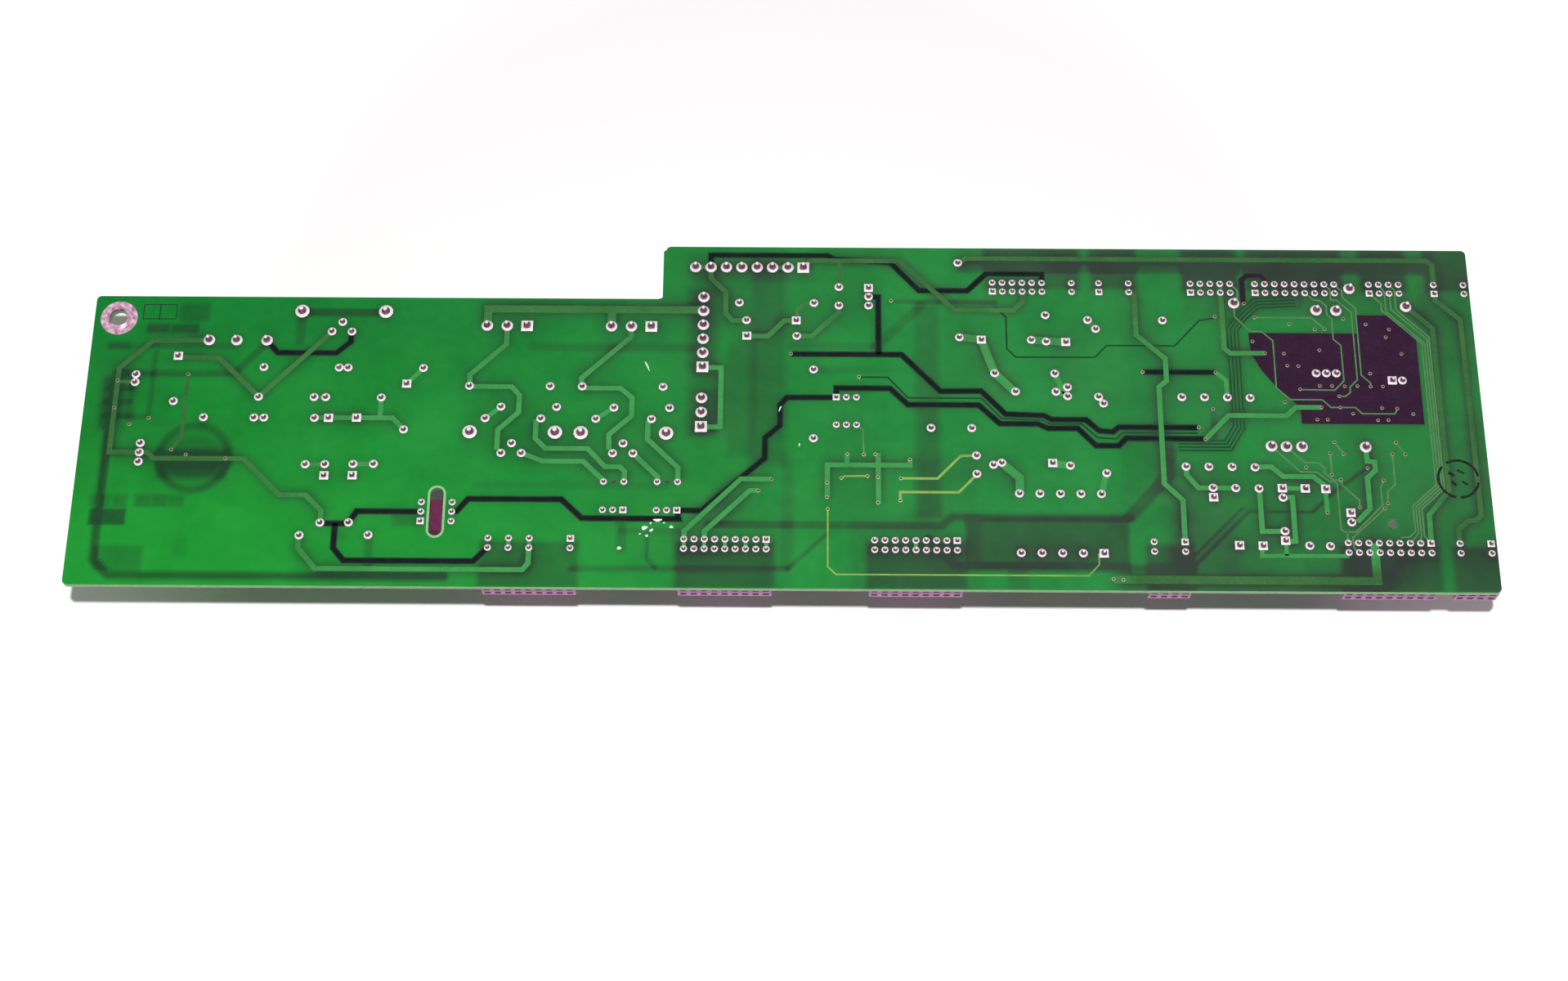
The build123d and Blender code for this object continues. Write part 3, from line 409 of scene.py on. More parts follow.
# Soft copper runs of the other face, as painted shade: width, feather, how dark, and the route
SOFT_RUNS = [
    (1.3, 0.9, 0.75, [(6.9, 42), (6.9, 6.5), (11, 2.5), (93.3, 2.5)]),
    (0.8, 0.8, 0.3, [(5.8, 53), (11.5, 53)]), (0.8, 0.8, 0.3, [(5.8, 49.3), (11.5, 49.3)]),
    (0.9, 0.8, 0.35, [(5.8, 45.3), (15.5, 45.3)]), (0.9, 1.0, 0.3, [(11.8, 56.5), (11.8, 45)]),
    (1.6, 1.4, 0.4, [(5.6, 55), (5.6, 43)]),
    (1.2, 0.8, 0.5, [(44.5, 65.8), (37, 57.3), (7.5, 57.2)]), (0.7, 0.6, 0.4, [(16.7, 63), (16.7, 44.9)]),
    (0.9, 0.8, 0.28, [(4.5, 65), (37, 65)]), (1.6, 0.8, 0.4, [(53, 74.5), (53, 66.5)]),
    (1.6, 0.7, 0.7, [(54.5, 74.8), (72, 74.8)]), (1.5, 0.9, 0.32, [(112, 65.3), (153, 65.3)]),
    (1.2, 1.0, 0.18, [(100, 27.2), (147, 27.2)]), (1.3, 0.8, 0.35, [(74.5, 11.5), (74.5, 5.5)]),
    (0.9, 0.6, 0.45, [(124.5, 4.9), (177.5, 5.2)]), (0.6, 0.5, 0.5, [(142.8, 13.7), (142.8, 7.6), (145, 5.3)]),
    (0.6, 0.5, 0.5, [(177.5, 5.2), (187, 14.4), (187.3, 14.4)]),
    (1.3, 0.8, 0.5, [(158, 16.9), (215.5, 16.7), (218, 19.2), (262, 19.2)]),
    (2.4, 0.8, 0.5, [(262, 19.4), (272.3, 31), (272.5, 37)]),
    (1.3, 0.8, 0.45, [(212, 13.5), (218.5, 6.2), (277, 5.9)]), (1.6, 0.9, 0.38, [(136.4, 18), (136.4, 10.4)]),
    (1.0, 0.8, 0.28, [(136.4, 14.9), (150, 14.9)]), (1.7, 0.9, 0.4, [(211, 77.7), (199.5, 65.7)]),
    (1.2, 0.9, 0.28, [(178, 66), (199, 66)]), (1.2, 0.9, 0.25, [(185, 59.3), (204, 59.3)]),
    (0.8, 0.6, 0.5, [(203.5, 78.9), (230, 78.7)]),
    (0.6, 0.4, 0.5, [(276.5, 5.9), (291.5, 21.2), (307, 21), (313.5, 27), (321.5, 33)]),
    (0.9, 1.1, 0.48, CHOKE_RING), (10.0, 3.5, 0.34, [(28, 33.5), (30, 33.5)]), (3.6, 1.0, 0.25, BUNDLE),
    (0.5, 0.4, 0.4, [(274.8, 6.5), (290, 22)]), (0.8, 0.7, 0.3, [(284.2, 49), (284.2, 41.5)]),
]
HOUSING_NODES = [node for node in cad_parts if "socket" in node]
HEADER_NODES = ["header_8", "header_6", "header_3"]


def housing_share(x, y, node, feather, dark):
    """A soft box over a hidden node, from the node's own corners."""
    low, high = (np.array(corner)[:2] - board_low[:2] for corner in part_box(node))
    return dark * soft_box(x, y, (*(low / MM), *(high / MM)), feather)


film_under = np.zeros_like(grid_x)
for left, front, right, rear, feather, dark in SOFT_BOXES:
    film_under += dark * soft_box(grid_x, grid_y, (left, front, right, rear), feather)
for width, feather, dark, route in SOFT_RUNS:
    film_under += dark * soft_line(grid_x, grid_y, route, width, feather)
for node in HOUSING_NODES:
    film_under += housing_share(grid_x, grid_y, node, 1.6, 0.52)
for node in HEADER_NODES:
    film_under += housing_share(grid_x, grid_y, node, 1.6, 0.15)
print("soft shades:", len(SOFT_BOXES) + len(SOFT_RUNS))

# %% [markdown]
# ## The shade that copper throws
# Light enters the laminate, wanders and comes back up. Copper blocks it, so the mask is darker right beside every
# track and joint. To copy that, the copper nodes are drawn on the film's grid, face by face, and the picture is
# softened by averaging neighbours: a few passes for the dark line beside the copper, many for the wide dim one.


# %% Copper shade
def node_faces(node):
    """The corners of a node's triangles, as an array (face, corner, xyz)."""
    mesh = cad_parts[node].data
    points = np.empty(len(mesh.vertices) * 3, np.float32)
    mesh.vertices.foreach_get("co", points)
    order = np.empty(len(mesh.loops), np.int32)
    mesh.loops.foreach_get("vertex_index", order)
    return points.reshape(-1, 3)[order].reshape(-1, 3, 3).astype(float)


def drawn(*nodes):
    """Film corners that a node covers: those on one and the same side of all three edges of one of its faces."""
    seen = np.zeros(grid_x.shape, bool)
    for face in np.concatenate([node_faces(node) for node in nodes])[..., :2]:
        columns = slice(*np.searchsorted(across, [face[:, 0].min(), face[:, 0].max()]))
        rows = slice(*np.searchsorted(deepwise, [face[:, 1].min(), face[:, 1].max()]))
        x, y = grid_x[rows, columns], grid_y[rows, columns]
        sides = [(end[0] - start[0]) * (y - start[1]) - (end[1] - start[1]) * (x - start[0])
                 for start, end in zip(face, np.roll(face, -1, axis=0))]
        seen[rows, columns] |= (np.min(sides, axis=0) >= 0) | (np.max(sides, axis=0) <= 0)
    return seen.astype(float)


def softened(share, passes):
    """Each pass takes half of a corner's own number and an eighth of each of its four neighbours'."""
    for _ in range(passes):
        wide = np.pad(share, 1, mode="edge")
        share = share / 2 + (wide[:-2, 1:-1] + wide[2:, 1:-1] + wide[1:-1, :-2] + wide[1:-1, 2:]) / 8
    return share


JOINT_NODES = ["small_joints", "medium_joints", "large_joints"]
near_copper = drawn("solder_tracks", *JOINT_NODES)
far_copper = drawn("far_tracks", "far_plane")
film_under += 1.0 * softened(near_copper, 8) + 0.95 * softened(near_copper, 70) + 0.7 * softened(far_copper, 8)
print("film corners under copper:", int(near_copper.sum()))

# %% [markdown]
# ## The film's outline
# The film reaches the cut edge, so its corners must follow the board's rounded corners and its openings. A corner of
# the grid that falls beyond a rounded corner is drawn back to the arc, and one that falls in an opening is pushed
# out to its rim. An opening is a straight middle line and a reach, which makes a circle when the line is a point.

# %% Film mesh
CORNER_RADIUS = 1.2 * MM
# Rounded corners: place, and which way the board lies from it
ROUNDED = [((0, 0), (1, 1)), ((351.8, 0), (-1, 1)), ((351.8, 94.4), (-1, -1)), ((145.65, 94.4), (1, -1)),
           ((0, 79.2), (1, -1))]
# Openings: start and end of the middle line, and the reach
OPENINGS = [((6.25, 72.87), (6.25, 72.87), 3.1), ((90.4, 15.1), (90.4, 24.6), 1.75),
            ((326.7, 18.1), (326.7, 18.1), 1.45)]
flat = np.stack([grid_x, grid_y], axis=-1)
for place, inward in ROUNDED:
    centre = spots([place])[0] + np.array(inward) * CORNER_RADIUS
    out = flat - centre
    far_out = np.hypot(out[..., 0], out[..., 1])
    beyond = (out * np.array(inward) < 0).all(axis=-1) & (far_out > CORNER_RADIUS - FILM_INSET)
    flat = np.where(beyond[..., None], centre + out / np.maximum(far_out, MM)[..., None] * (CORNER_RADIUS - FILM_INSET),
                    flat)
open_corner = (grid_x < board_low[0] + NARROW_LENGTH) & (grid_y > board_low[1] + NARROW_DEPTH)
for start, end, reach in OPENINGS:
    low, high = spots([start, end])
    nearest = np.stack([np.full_like(grid_x, low[0]), np.clip(grid_y, low[1], high[1])], axis=-1)
    out = flat - nearest
    far_out = np.hypot(out[..., 0], out[..., 1])
    inside = far_out < reach * MM
    open_corner |= inside
    flat = np.where(inside[..., None], nearest + out / np.maximum(far_out, 0.01 * MM)[..., None] * reach * MM, flat)
film_corners = np.concatenate([flat, np.full((*grid_x.shape, 1), BOARD_TOP + FILM_RISE)], axis=-1).reshape(-1, 3)
film_quads = band_quads(*grid_x.shape, closed=False)
film_quads = film_quads[~open_corner.ravel()[film_quads].all(axis=1)]
in_step = (grid_x <= board_low[0] + NARROW_LENGTH + FILM_INSET) & (grid_y >= board_low[1] + NARROW_DEPTH - FILM_INSET)
film_quads = film_quads[~in_step.ravel()[film_quads].all(axis=1)]
used, film_quads = np.unique(film_quads, return_inverse=True)
film = add_piece("painted_shade_film", film_corners[used], film_quads.reshape(-1, 4), mask, "laminate",
                 fields={"under": np.clip(film_under.ravel()[used], 0, DARKEST)})
print("film squares:", len(film.data.polygons))

# %% [markdown]
# ## Copper seen from its own side and from behind
# A track is a flat ribbon with sloped shoulders, carried along its route with mitred corners. The thin tracks of
# the solder side are made this way. The copper of the other face blocks the light in the laminate, and that shade is
# painted on top: each of its runs is two thin ribbons, a wide dim one for the soft border and a narrow near-black one
# on top.


# %% Ribbon shape
def mitred_sides(route):
    """Unit side steps at each corner of a route: the sum of both runs' normals over one plus their dot product."""
    ends = spots(route)
    runs = np.diff(ends, axis=0)
    normals = np.stack([-runs[:, 1], runs[:, 0]], axis=1) / np.hypot(runs[:, 0], runs[:, 1])[:, None]
    before = np.concatenate([normals[:1], normals])
    after = np.concatenate([normals, normals[-1:]])
    return ends, (before + after) / (1 + (before * after).sum(axis=1, keepdims=True))


def ribbon(route, width, low, high, shoulder):
    """A flat-topped ribbon: four corners of its section, moved along the route by the mitred side steps."""
    ends, sides = mitred_sides(route)
    half = width * MM / 2
    offsets = np.array([half, half - shoulder * MM, shoulder * MM - half, -half])
    heights = np.array([low, high, high, low])
    flat = ends[:, None, :] + sides[:, None, :] * offsets[None, :, None]
    tall = np.broadcast_to(heights[None, :, None], (*flat.shape[:2], 1))
    corners = np.concatenate([flat, tall], axis=-1).reshape(-1, 3)
    count = len(ends)
    last = 4 * count - 4
    quads = np.concatenate([band_quads(count, 4), [[3, 2, 1, 0]], [[last, last + 1, last + 2, last + 3]]])
    return corners, quads


def ribbon_piece(name, routes, high, shoulder, finish):
    """All ribbons of one kind as one mesh that stands on the board; routes is a list of a width and a route."""
    corners, quads, total = [], [], 0
    for width, route in routes:
        some, faces = ribbon(route, width, BOARD_TOP, BOARD_TOP + high * MM, shoulder)
        corners.append(some)
        quads.append(faces + total)
        total += len(some)
    return add_piece(name, np.concatenate(corners), np.concatenate(quads), finish, "masked_copper", smooth=False)


# %% [markdown]
# The wide tracks are solids in the frame. Under the mask they look lighter than the laminate, a fresh green in the
# middle and more olive along the rear, at the left end and on the heavy run at the front right.

# %% Track finish
tracks = lacquered("masked_track")
mottle = tracks.noise(6 * MM) * 0.6 + tracks.noise(0.8 * MM) * 0.4
rearward = (tracks.y / (board_size[1] / 2)).step(0.25, 0.7)
leftward = 1 - (tracks.x / board_half).step(-0.8, -0.55)
frontward = (tracks.x / board_half).step(0.4, 0.5) * (1 - (tracks.y / (board_size[1] / 2)).step(-0.9, -0.8))
fresh = tracks.tones((54, 140, 70), (74, 158, 86), mottle.contrast())
olive = tracks.tones((48, 98, 52), (66, 116, 63), mottle.contrast())
rightmost = (tracks.x / board_half).step(0.9, 0.94)
duller = (rearward + leftward + frontward + rightmost).limit()
tracks.set(Base_Color=tracks.blend(fresh, olive, duller), Roughness=0.18 + mottle * 0.12)
tracks.bump(mottle, 0.01 * MM, 0.4)
dress(tracks, "solder_tracks")

thin = lacquered("thin_masked_track")
thin_mottle = thin.noise(2.5 * MM)
near_front = 1 - (thin.y / (board_size[1] / 2)).step(-0.3, -0.15)
left_of_plane = 1 - (thin.x / board_half).step(0.38, 0.48)
bare = thin.tones((118, 158, 74), (158, 188, 98), thin_mottle)
grey = thin.tones((72, 122, 76), (100, 144, 96), thin_mottle)
thin.set(Base_Color=thin.blend(grey, bare, near_front * left_of_plane), Roughness=0.18 + thin_mottle * 0.12)
print("track finishes ready")

# %% Thin tracks
THIN_TRACKS = [
    (0.9, [(7.8, 54.9), (12.2, 54.9)]), (1.0, [(25.5, 57.1), (25.4, 39.6), (23.3, 36.3)]),
    (1.0, [(57.8, 50.9), (60.7, 50.9)]), (1.2, [(57.1, 32.4), (61.9, 32.4)]), (1.2, [(69, 32.5), (74.1, 32.6)]),
    (1.2, [(81, 54.8), (84.9, 59.2)]), (1.2, [(101.4, 45.4), (105.1, 48.5)]),
    (1.2, [(129.1, 45.3), (133.5, 48.4)]), (1.3, [(74.8, 50.9), (74.8, 45.2)]),
    (1.2, [(153.3, 88.5), (157.2, 88.5)]), (1.2, [(173.1, 88.5), (181, 88.5)]),
    (1.2, [(179.4, 73.3), (179.5, 76.3), (181.3, 78.2), (183.7, 78.2)]), (1.1, [(190.2, 82.9), (190.2, 90.5)]),
    (1.3, [(192.1, 33), (192.1, 36)]), (0.5, [(190.7, 29.5), (191.5, 30), (197.2, 30.1)]),
    (0.4, [(194.5, 44.1), (196.2, 42.5), (196.3, 35.9)]),
    (0.7, [(205.5, 29.5), (214.6, 29.5), (220.5, 35.7), (224.5, 35.8)]),
    (0.7, [(205.3, 23.5), (205.3, 25.8), (219.8, 25.8), (224.3, 30.5)]),
    (0.45, [(187.3, 21.1), (187.3, 5.8), (189.3, 3.8), (251.2, 3.8), (253.9, 6.8), (253.8, 9.7)]),
    (1.5, [(244.7, 58.6), (246.5, 54.3), (247.8, 52.3)]), (1.5, [(245.1, 53.5), (247.8, 52.3)]),
    (2.0, [(243.4, 33.8), (247.7, 33.2)]), (1.6, [(256.7, 31.2), (255.2, 25.6)]),
    (1.6, [(253.6, 73.8), (255.5, 71.3)]), (1.5, [(255.6, 52.2), (256.7, 50.4)]),
    (1.2, [(285.4, 59.2), (287.9, 57), (288, 52.2)]), (1.2, [(300.1, 27.4), (305.8, 27.4)]),
    (1.2, [(310.8, 27.3), (310.8, 20.9)]), (1.1, [(294.3, 12), (293.9, 9.3), (315.3, 9.4)]),
    (1.1, [(300, 13), (300, 9.4)]),
    (0.45, [(326.2, 81.8), (328.9, 79), (328.9, 77), (338.3, 67.6), (338.3, 28.5), (332.1, 22.9), (332.1, 16),
            (330.5, 14.5), (328.3, 14.4)]),
    (0.45, [(328.7, 84.3), (330, 82.5), (330, 76.7), (339.0, 67.7), (339.0, 28.2), (332.8, 22.6), (332.8, 15.6),
            (330.6, 12.7)]),
    (0.45, [(331.3, 81.8), (331.3, 77.3), (339.7, 69), (339.7, 27.9), (333.5, 22.3), (333.5, 15.2), (333.1, 12.7)]),
    (0.45, [(331.2, 84.3), (332.6, 83), (332.6, 77.2), (340.3, 69.5), (340.3, 27.6), (334.2, 22.0), (334.2, 15),
            (335.7, 12.6)]),
    (0.45, [(290.6, 84.3), (292.3, 82.6), (292.3, 80), (291.2, 78.8)]),
    (0.45, [(291.2, 78.8), (291.2, 75), (294.9, 70.9), (297.7, 70.9), (300.5, 68.2), (300.5, 55), (303.8, 51.7),
            (311.8, 51.7), (313.9, 49.6), (320, 49.6), (321.6, 47.9), (329.8, 47.9), (330.6, 49.4)]),
    (0.45, [(296.3, 74.8), (310.8, 74.8), (313.9, 71.6)]),
    (0.45, [(309.7, 81.8), (311.7, 79.9), (313.2, 79.8), (314.8, 78.2), (314.8, 75.7), (315.9, 74.6), (315.9, 68.7),
            (317.7, 67), (317.7, 57), (315.2, 54.4), (306.5, 54.5)]),
    (0.45, [(314.7, 84.3), (316.1, 83), (316.1, 80), (317.5, 79.9), (321.1, 76.4), (321.1, 57.3), (319.1, 55.3),
            (319.1, 53.8), (317.8, 52.7), (316.2, 52.7)]),
    (0.45, [(317.2, 84.3), (319.1, 82.6), (319.1, 80.7), (322.2, 77.6), (322.2, 58.6), (324.4, 56.4),
            (324.3, 55.5)]),
    (0.45, [(298.2, 38.8), (304.9, 31.9), (309, 31.8), (312, 29.3), (313.3, 29.3), (313.8, 28.7), (313.8, 16.5),
            (314.5, 15.8), (317.5, 15.8), (324.6, 23), (324.5, 27.8), (325.4, 29.7)]),
    (0.45, [(315.3, 12.7), (315.3, 15.8)]),
    (0.45, [(301.9, 38.7), (306.2, 34.4), (309.5, 34.4), (311, 33), (311, 31.5), (312.9, 29.7), (314.9, 29.6),
            (315, 28.3), (319, 24.3), (318.9, 22.4)]),
    (0.6, [(312.7, 37), (312.7, 31.1)]), (0.5, [(328.2, 36.9), (328.2, 28.7), (326.2, 26.7), (326, 23.5)]),
    (0.45, [(325.1, 22.1), (316.6, 14.3), (316.6, 11.6), (317.8, 10.2)]), (0.5, [(314, 40), (316.1, 36.8)]),
    (0.5, [(329.3, 40), (331.4, 36.8)]),
]
PIN_LINKS = [108.7, 113.8, 151.9, 156.9, 162.0, 167.1, 172.2, 209.0]
THIN_TRACKS += [(1.0, [(x, 10.33), (x, 12.87)]) for x in PIN_LINKS]
WIDE_ENOUGH = 0.8
TRACK_RISE, TRACK_SHOULDER = 0.05, 0.06
narrow = [pair for pair in THIN_TRACKS if pair[0] < WIDE_ENOUGH]
broad = [pair for pair in THIN_TRACKS if pair[0] >= WIDE_ENOUGH]
ribbon_piece("thin_tracks", narrow, TRACK_RISE, TRACK_SHOULDER, thin)
ribbon_piece("short_tracks", broad, TRACK_RISE, TRACK_SHOULDER, tracks)
print("thin tracks:", len(THIN_TRACKS))

# %% Painted shade of the far copper through the laminate
FAR_RUNS = [
    [(44.6, 66.7), (47.6, 63.3), (62.5, 63.3), (66, 66.5), (66, 69.4)],
    [(62, 16.5), (69, 16.5)], [(69, 16.7), (70.8, 19.8), (86.7, 19.8)],
    [(65.7, 16.5), (65.7, 10), (68.4, 6.7), (100.3, 6.7), (103.7, 10.3)],
    [(94.3, 19.9), (95.5, 19.9), (98.2, 23.3), (121.3, 23.3), (126.5, 18.3), (150.5, 18.2), (150, 20.5)],
    [(150, 20.5), (156, 20.5), (171.6, 34.8), (171.6, 40.3), (175.3, 43.8), (175.3, 49.5), (177, 51.5),
     (189.4, 51.6)],
    [(157.2, 88.5), (157.2, 92), (187.3, 92), (189, 91), (203.5, 90), (210.7, 82), (223, 82), (228, 87),
     (242.3, 87), (242.3, 84.5)],
    [(197.7, 80.1), (200.2, 80.1), (200.2, 63.7)],
    [(178, 63.7), (206, 63.7), (215.7, 53.5), (226, 53.6), (232, 47.2), (241.6, 46.9), (243.5, 45.8), (252.1, 45.8),
     (255.3, 42.8), (258.7, 42.5), (260.3, 43.8), (280, 43.8)],
    [(189.4, 51.7), (189.5, 54.2), (203, 54.2), (207.5, 49.7), (225.3, 49.7), (230.5, 44.6), (240, 44.6),
     (242.5, 43.4), (250, 43.4), (254.4, 38.7), (260, 38.7), (262, 40.8), (281.8, 40.7)],
    [(267, 59.2), (285.4, 59.2)],
    [(293.6, 79), (293.6, 85.5), (295, 86.9), (298.5, 86.9), (299.8, 85.5)],
]


def beside(route, shift):
    """The same route moved sideways by a shift, corner by corner along the mitred side steps."""
    ends, sides = mitred_sides(route)
    return ((ends + sides * shift * MM - board_low[:2]) / MM).tolist()


THREADS = [(0.4, beside(BUNDLE, shift)) for shift in (-1.35, -0.45, 0.45, 1.35)]
THREADS += [
    (0.5, [(195.2, 57.3), (202.5, 57.3), (207.5, 51.6), (226, 51.6), (231, 46), (241, 45.7), (243, 44.6), (251, 44.6),
           (254.8, 40.9), (259.5, 40.6), (261.2, 42.3), (280, 42.3)]),
    (0.5, [(230, 77.4), (232.8, 74.5), (232.8, 65.5), (235, 63.2), (255, 63.2), (258.2, 66.6), (275.5, 66.6),
           (282, 73.8), (286, 74.6)]),
    (0.35, [(12.4, 72.7), (20.8, 72.7), (20.8, 76.8), (12.4, 76.8), (12.4, 72.5)]),
    (0.35, [(16.6, 72.7), (16.6, 76.8)]),
]
PLANE_ROWS = [
    [(294.4, 70.4), (294.5, 67.5), (294.8, 64.5), (297, 60), (300.5, 55.2), (303.5, 52.3), (306.2, 49.6), (306.2, 45)],
    [(322.3, 70.4), (322.3, 67.5), (322.3, 64.5), (322.3, 60), (322.3, 55.2), (322.3, 52.3), (322.3, 49.6),
     (322.3, 45)],
    [(322.3, 75.6), (323.5, 71.5), (324, 66), (324, 60), (324, 55.2), (324, 52.3), (324, 49.6), (324, 45)],
    [(330.5, 75.6), (331.5, 71.5), (332, 66), (332, 60), (332, 55.2), (332, 52.3), (332, 49.6), (332, 45)],
    [(331, 75.3), (337, 69.3), (337, 66), (337, 60), (337, 55.2), (337, 52.3), (337, 49.6), (337, 45)],
]
# Painted shade: near black under each run, dark purple over the plane at the right end.
far = lacquered("painted_shade_of_far_copper")
far_mottle = far.noise(4 * MM) * 0.5 + far.noise(0.7 * MM) * 0.5
rightward = (far.x / (board_size[0] / 2)).step(0.62, 0.7)
run_dark = far.tones((12, 20, 22), (26, 34, 34), far_mottle.contrast())
plane_dark = far.tones((44, 22, 44), (58, 34, 58), far_mottle.contrast())
far.set(Base_Color=far.blend(run_dark, plane_dark, rightward), Roughness=0.18 + far_mottle * 0.1)
# The dim green border round each run is painted shade as well.
far_shade_border = lacquered("painted_shade_border_of_far_copper")
border_mottle = far_shade_border.noise(4 * MM)
far_shade_border.set(Base_Color=far_shade_border.tones((30, 62, 42), (38, 78, 50), border_mottle.contrast()))
BORDER_WIDTH, CORE_WIDTH, FAR_SHOULDER = 1.75, 1.2, 0.02
BORDER_RISE, CORE_RISE, PLANE_RISE = 0.022, 0.032, 0.026
borders = [(BORDER_WIDTH, route) for route in FAR_RUNS] + THREADS
ribbon_piece("far_run_shade_borders", borders, BORDER_RISE, FAR_SHOULDER, far_shade_border)
ribbon_piece("far_runs", [(CORE_WIDTH, route) for route in FAR_RUNS], CORE_RISE, FAR_SHOULDER, far)
plane_flat = spots(PLANE_ROWS).reshape(-1, 2)
plane_corners = np.concatenate([plane_flat, np.full((len(plane_flat), 1), BOARD_TOP + PLANE_RISE * MM)], axis=1)
plane_quads = band_quads(len(PLANE_ROWS), len(PLANE_ROWS[0]), closed=False)
add_piece("far_plane_seen", plane_corners, plane_quads, far, "masked_copper", smooth=False)
# The copper solids of the other face wear the same painted-shade colour.
dress(far, "far_tracks", "far_plane")
print("far runs:", len(FAR_RUNS))

# %% [markdown]
# ## Solder joints
# Molten solder climbs a lead and sets as a hollow-sided cone with a flat rim and the cut lead at its tip. The
# CAD cones say where each joint is, how wide and how tall. Each is redrawn as rings of corners: a flat pad rim, then
# a flank that rises ever more steeply to the lead. On a square pad the lowest rings are square. The lowest ring comes
# twice, once for the flank and once for the base that closes the shape, so the rim stays crisp. Light is painted on:
# the flat rim and the cut lead get a painted highlight, the steep flank a painted reflection of the dark room.

# %% Joint places from the frame
JOINT_STEPS = 12


def joint_places(node):
    """Tips, base radii and square marks of a node of cones: a side face has one corner at a tip and two on the base,
    so the base corners that share a tip give its reach, and a joint with four of them is square."""
    sides = np.round(node_faces(node), 6)
    base_level = sides[..., 2].min()
    raised = sides[..., 2] > base_level + 0.9 * MM
    sides, raised = sides[raised.any(axis=1)], raised[raised.any(axis=1)]
    tip_of_side = sides[raised]
    reach = np.linalg.norm((sides - tip_of_side[:, None])[..., :2], axis=-1).max(axis=1)
    tips, first, count = np.unique(tip_of_side, axis=0, return_index=True, return_counts=True)
    square = count == 4
    radius = np.where(square, reach[first] / math.sqrt(2), reach[first])
    return tips, radius, square, base_level


# Rings from the rim to the tip: share of the radius, share of the height
RIM_TO_TIP = np.array([(1.0, 0.0), (1.0, 0.0), (0.95, 0.06), (0.64, 0.14), (0.40, 0.60), (0.24, 1.0)])


def joint_rings(tips, radius, square, base_level):
    """Corners (joint, ring, step, xyz): a circle of the ring's radius, stretched to a square by the greater of
    the angle's cosine and sine, the more so the lower the ring; heights are shares of the tip's own height."""
    turn = math.pi / 4 + full_turn(JOINT_STEPS)
    to_square = 1 / np.maximum(abs(np.cos(turn)), abs(np.sin(turn))) - 1
    low_share = np.clip(1 - RIM_TO_TIP[:, 1] * 3, 0, 1)
    stretch = 1 + square[:, None, None] * low_share[None, :, None] * to_square[None, None, :]
    reach = radius[:, None, None] * RIM_TO_TIP[None, :, 0, None] * stretch
    height = base_level + (tips[:, 2] - base_level)[:, None, None] * RIM_TO_TIP[:, 1:]
    return ring_corners(tips[:, None, None], reach, height, turn)


# %% Joint meshes
solder = Finish("set_solder", roughness=0.3, metallic=0.1, gloss=0.2)
climb = solder.field("climb")
grain = solder.noise(0.5 * MM)
# Painted highlight on the rim and the cut lead, painted reflection of the dark room on the flank.
rim = solder.tones((244, 232, 238), (255, 254, 254), grain.contrast())
flank = solder.tones((84, 36, 62), (164, 112, 140), grain.contrast())
lead = solder.tones((216, 184, 200), (255, 252, 252), grain.step(0.3, 0.6))
body = solder.blend(rim, flank, climb.step(0.12, 0.24))
solder.set(Base_Color=solder.blend(body, lead, climb.step(0.84, 0.94)), Roughness=0.22 + grain * 0.22)
for node in JOINT_NODES:
    tips, radius, square, base_level = joint_places(node)
    rings = joint_rings(tips, radius, square, base_level)
    levels = len(RIM_TO_TIP)
    quads = many(closed_quads(levels, JOINT_STEPS, first=1), levels * JOINT_STEPS, len(rings))
    add_piece(node + "_fillets", rings, quads, solder, "solder", fields={"climb": RIM_TO_TIP[:, 1:]}, stands_for=node)
    print(node, "redrawn:", len(rings), "of them square:", int(square.sum()))

# %% [markdown]
# ## Vias
# A via is a plated hole that carries a track to the other face: a small tan ring, its middle painted dark as the
# shade in the hole. A disc of four rings is enough, with its middle sunk a little. The last two on the list are bare
# holes, painted shade all over.

